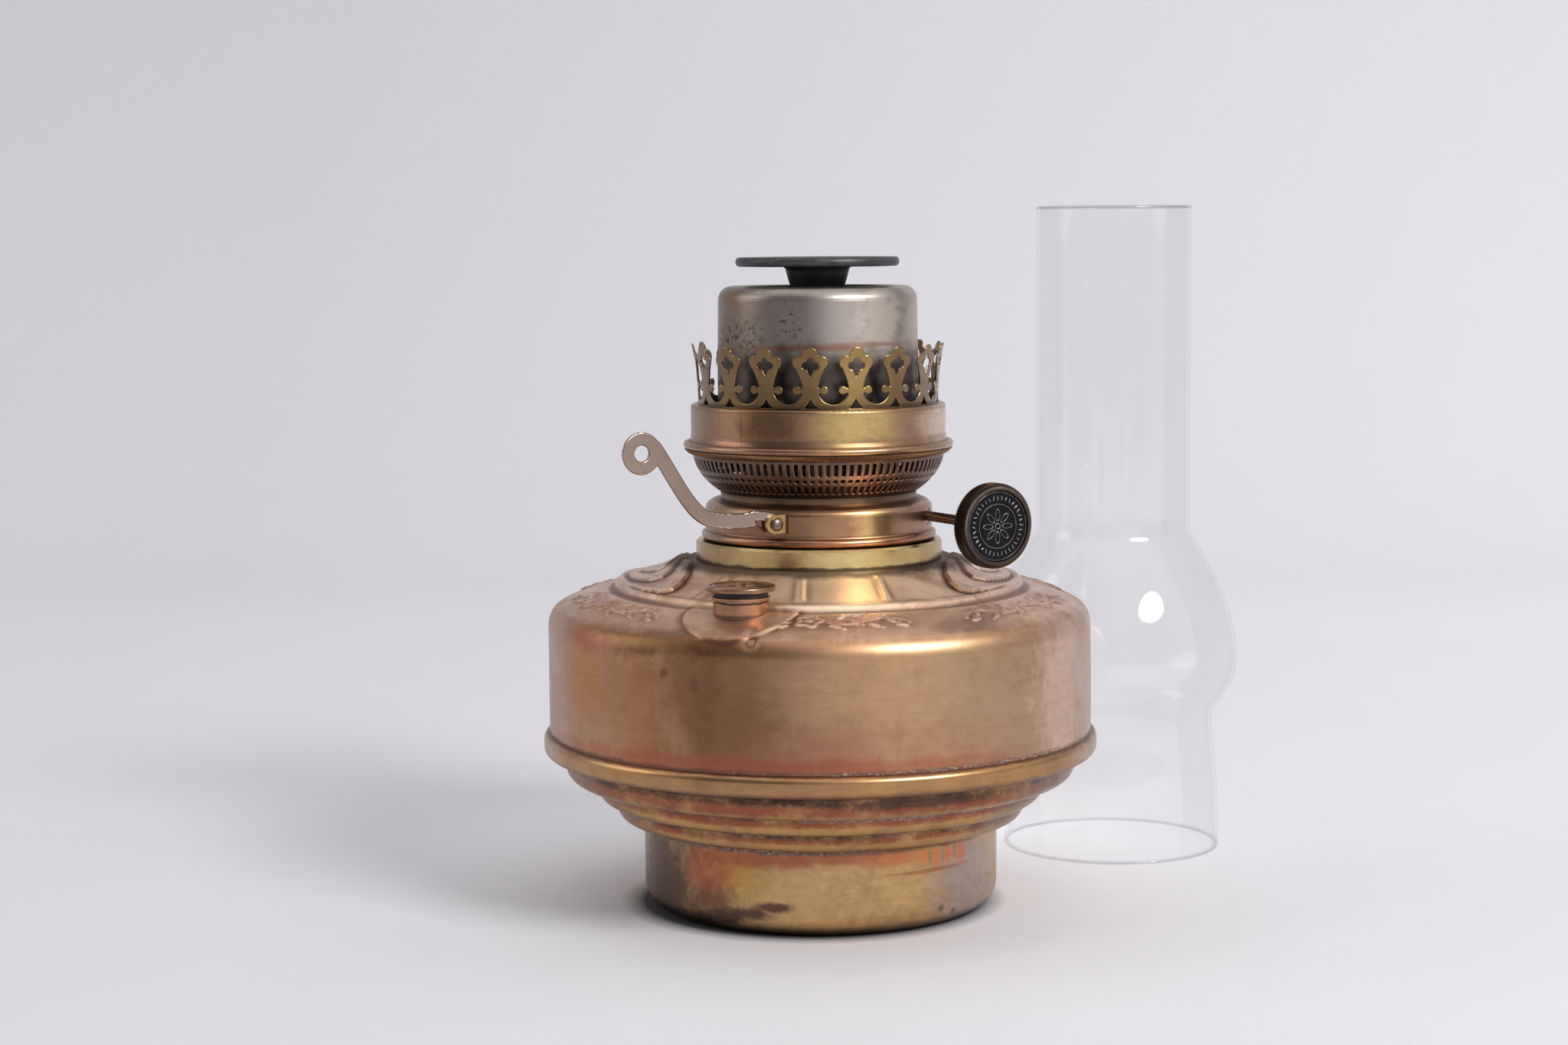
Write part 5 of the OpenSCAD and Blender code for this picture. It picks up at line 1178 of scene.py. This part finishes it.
# Painted shade: the see-through part turns grey at grazing angles and at both rims, in place of the glass's
# refraction.
tint = glass.ramp(edge.outputs["Facing"], (0.93, 0.997), (0.998, 0.87))
rims = glass.sum("MAXIMUM", glass.band(-2.0, 0.9, 0.3), glass.band(GLASS_H - 0.9, GLASS_H + 2.0, 0.3))
glass.plug(glass.mix(rims, tint, (0.87, 0.87, 0.88)), clear.inputs["Color"])
thin = glass.node("ShaderNodeMixShader")
shadow = glass.node("ShaderNodeLightPath").outputs["Is Shadow Ray"]
glass.plug(glass.sum("MAXIMUM", 0.95, shadow), thin.inputs["Fac"])
glass.tree.links.new(glass.shader.outputs["BSDF"], thin.inputs[1])
glass.tree.links.new(clear.outputs["BSDF"], thin.inputs[2])
gloss = glass.node("ShaderNodeBsdfGlossy")
gloss.inputs["Roughness"].default_value = 0.03
grazing = glass.node("ShaderNodeLayerWeight")
grazing.inputs["Blend"].default_value = 0.5
mirror = glass.sum("ADD", glass.sum("MULTIPLY", glass.sum("POWER", grazing.outputs["Facing"], 6.0), 0.24), 0.032)
shiny = glass.node("ShaderNodeMixShader")
glass.plug(glass.sum("MULTIPLY", mirror, glass.sum("SUBTRACT", 1.0, shadow, clamp=True)), shiny.inputs["Fac"])
glass.tree.links.new(thin.outputs["Shader"], shiny.inputs[1])
glass.tree.links.new(gloss.outputs["BSDF"], shiny.inputs[2])
glass.tree.links.new(shiny.outputs["Shader"], glass.tree.nodes["Material Output"].inputs["Surface"])
add_piece("glass_chimney", points, faces, "chimney", glass.material, stands_for=("chimney",), crease=60)

# %% [markdown]
# ## Studio
# The photograph was taken on white cloth with one soft lamp to the right. A pale floor that
# curves up behind gives the ground, with light and shade painted into its colour: lighter to the
# right, darker to the front, a painted pool of light round the lamp and a painted contact shadow
# round the cup. A large area light gives the broad shine on the metal, and the world fills the rest.

# %% Pale floor that curves up behind
def away_from(f, x, y):
    """Distance on the floor from a point in millimetres."""
    squares = [f.sum("POWER", f.sum("ABSOLUTE", f.sum("SUBTRACT", f.axis(name), at)), 2.0)
               for name, at in (("X", x), ("Y", y))]
    return f.sum("SQRT", f.sum("ADD", *squares))


def pale_cloth():
    f = Finish("pale cloth")
    # Painted light and shade: the cloth is lighter towards the lamp at the right and darker towards the front.
    to_right = f.ramp(f.sum("DIVIDE", f.sum("ADD", f.axis("X"), 400), 1100), (0.0, 0.0), (1.0, 1.0))
    to_front = f.ramp(f.sum("DIVIDE", f.sum("SUBTRACT", 700, f.axis("Y")), 900), (0.0, 0.0), (1.0, 0.9))
    colour = f.mix(to_right, (0.69, 0.682, 0.705), (0.84, 0.83, 0.86))
    colour = f.mix(to_front, colour, (0.60, 0.592, 0.612))
    # Painted light: a lighter patch round the lamp that lifts the shade the reservoir casts on the floor.
    beside = f.sum("DIVIDE", away_from(f, 0, 90), 200)
    colour = f.mix(f.ramp(beside, (0.38, 0.66), (0.58, 0.42), (0.78, 0.12), (1.0, 0.0)), colour,
                   (0.90, 0.89, 0.915))
    # Painted contact shadow: a dark ring on the cloth round the cup's foot.
    pressed = f.ramp(f.sum("DIVIDE", f.sum("SUBTRACT", away_from(f, -2.6, 1.0), 58), 9), (0.0, 1.0), (0.35, 0.55),
                     (1.0, 0.0))
    f.set(base_color=f.mix(pressed, colour, (0.09, 0.082, 0.085)), roughness=0.95)
    f.shader.inputs["Specular IOR Level"].default_value = 0.15
    f.bump(f.noise(1.0, 2, 0.5, place=f.stretched(900, 2600, 900)), 0.10, f.bump(f.noise(9, 3, 0.5), 2.0))
    return f.material


DEPTH, CURVE, HALF_WIDTH = 1600.0, 700.0, 3500.0
ground = [(-2500.0, 0.0), (-600.0, 0.0), (0.0, 0.0), (400.0, 0.0)]
ground += [(DEPTH - CURVE + CURVE * math.sin(a), CURVE - CURVE * math.cos(a))
           for a in np.radians(np.linspace(0, 90, 24))]
ground += [(DEPTH, 3200.0)]
points = [(x, y, z) for y, z in ground for x in (-HALF_WIDTH, HALF_WIDTH)]
faces = [[2 * k, 2 * k + 1, 2 * k + 3, 2 * k + 2] for k in range(len(ground) - 1)]
mesh = bpy.data.meshes.new("studio_floor")
mesh.from_pydata((np.array(points) * MM).tolist(), [], faces)
mesh.shade_smooth()
mesh.materials.append(pale_cloth())
floor = bpy.data.objects.new("studio_floor", mesh)
scene.collection.objects.link(floor)


# %% Lights
def add_light(name, place, aim, wide, high, power, tint=(1, 1, 1)):
    data = bpy.data.lights.new(name, "AREA")
    data.shape, data.size, data.size_y, data.energy, data.color = "ELLIPSE", wide, high, power, tint
    light = bpy.data.objects.new(name, data)
    light.location = place
    light.rotation_euler = (Vector(aim) - Vector(place)).to_track_quat("-Z", "Y").to_euler()
    scene.collection.objects.link(light)
    return light


add_light("soft_lamp_right", (1.05, -1.15, 1.05), (0, 0, 0.12), 0.80, 0.42, 26)
add_light("fill_left", (-2.1, -0.1, 0.9), (0, 0, 0.12), 1.4, 1.4, 7, (0.97, 0.98, 1.0))

# %% [markdown]
# The room is brighter towards its ceiling, and one corner behind the camera's left side is dark.
# That corner, with dark reflections also painted into the finishes, gives the round metal its dark
# upright band left of the middle.

# %% The room around the studio
world = bpy.data.worlds.new("studio_air")
scene.world = world
world.use_nodes = True
tree = world.node_tree


def world_math(operation, a, b):
    node = tree.nodes.new("ShaderNodeMath")
    node.operation = operation
    for socket, value in zip(node.inputs, (a, b)):
        if isinstance(value, (int, float)):
            socket.default_value = value
        else:
            tree.links.new(value, socket)
    return node.outputs[0]


def world_ramp(value, low, high):
    node = tree.nodes.new("ShaderNodeMapRange")
    node.interpolation_type = "SMOOTHSTEP"
    tree.links.new(value, node.inputs["Value"])
    for name, number in zip(("From Min", "From Max", "To Min", "To Max"), (low[0], high[0], low[1], high[1])):
        node.inputs[name].default_value = number
    return node.outputs["Result"]


where = tree.nodes.new("ShaderNodeTexCoord").outputs["Generated"]
parts = tree.nodes.new("ShaderNodeSeparateXYZ")
tree.links.new(where, parts.inputs[0])
corner = tree.nodes.new("ShaderNodeVectorMath")
corner.operation = "DOT_PRODUCT"
tree.links.new(where, corner.inputs[0])
corner.inputs[1].default_value = (-0.64, -0.74, 0.21)
ceiling = world_ramp(parts.outputs["Z"], (0.15, 0.56), (0.95, 1.05))
dark = world_ramp(corner.outputs["Value"], (0.62, 1.0), (0.90, 0.30))
background = tree.nodes["Background"]
background.inputs["Color"].default_value = (0.98, 0.975, 1.0, 1)
tree.links.new(world_math("MULTIPLY", ceiling, dark), background.inputs["Strength"])
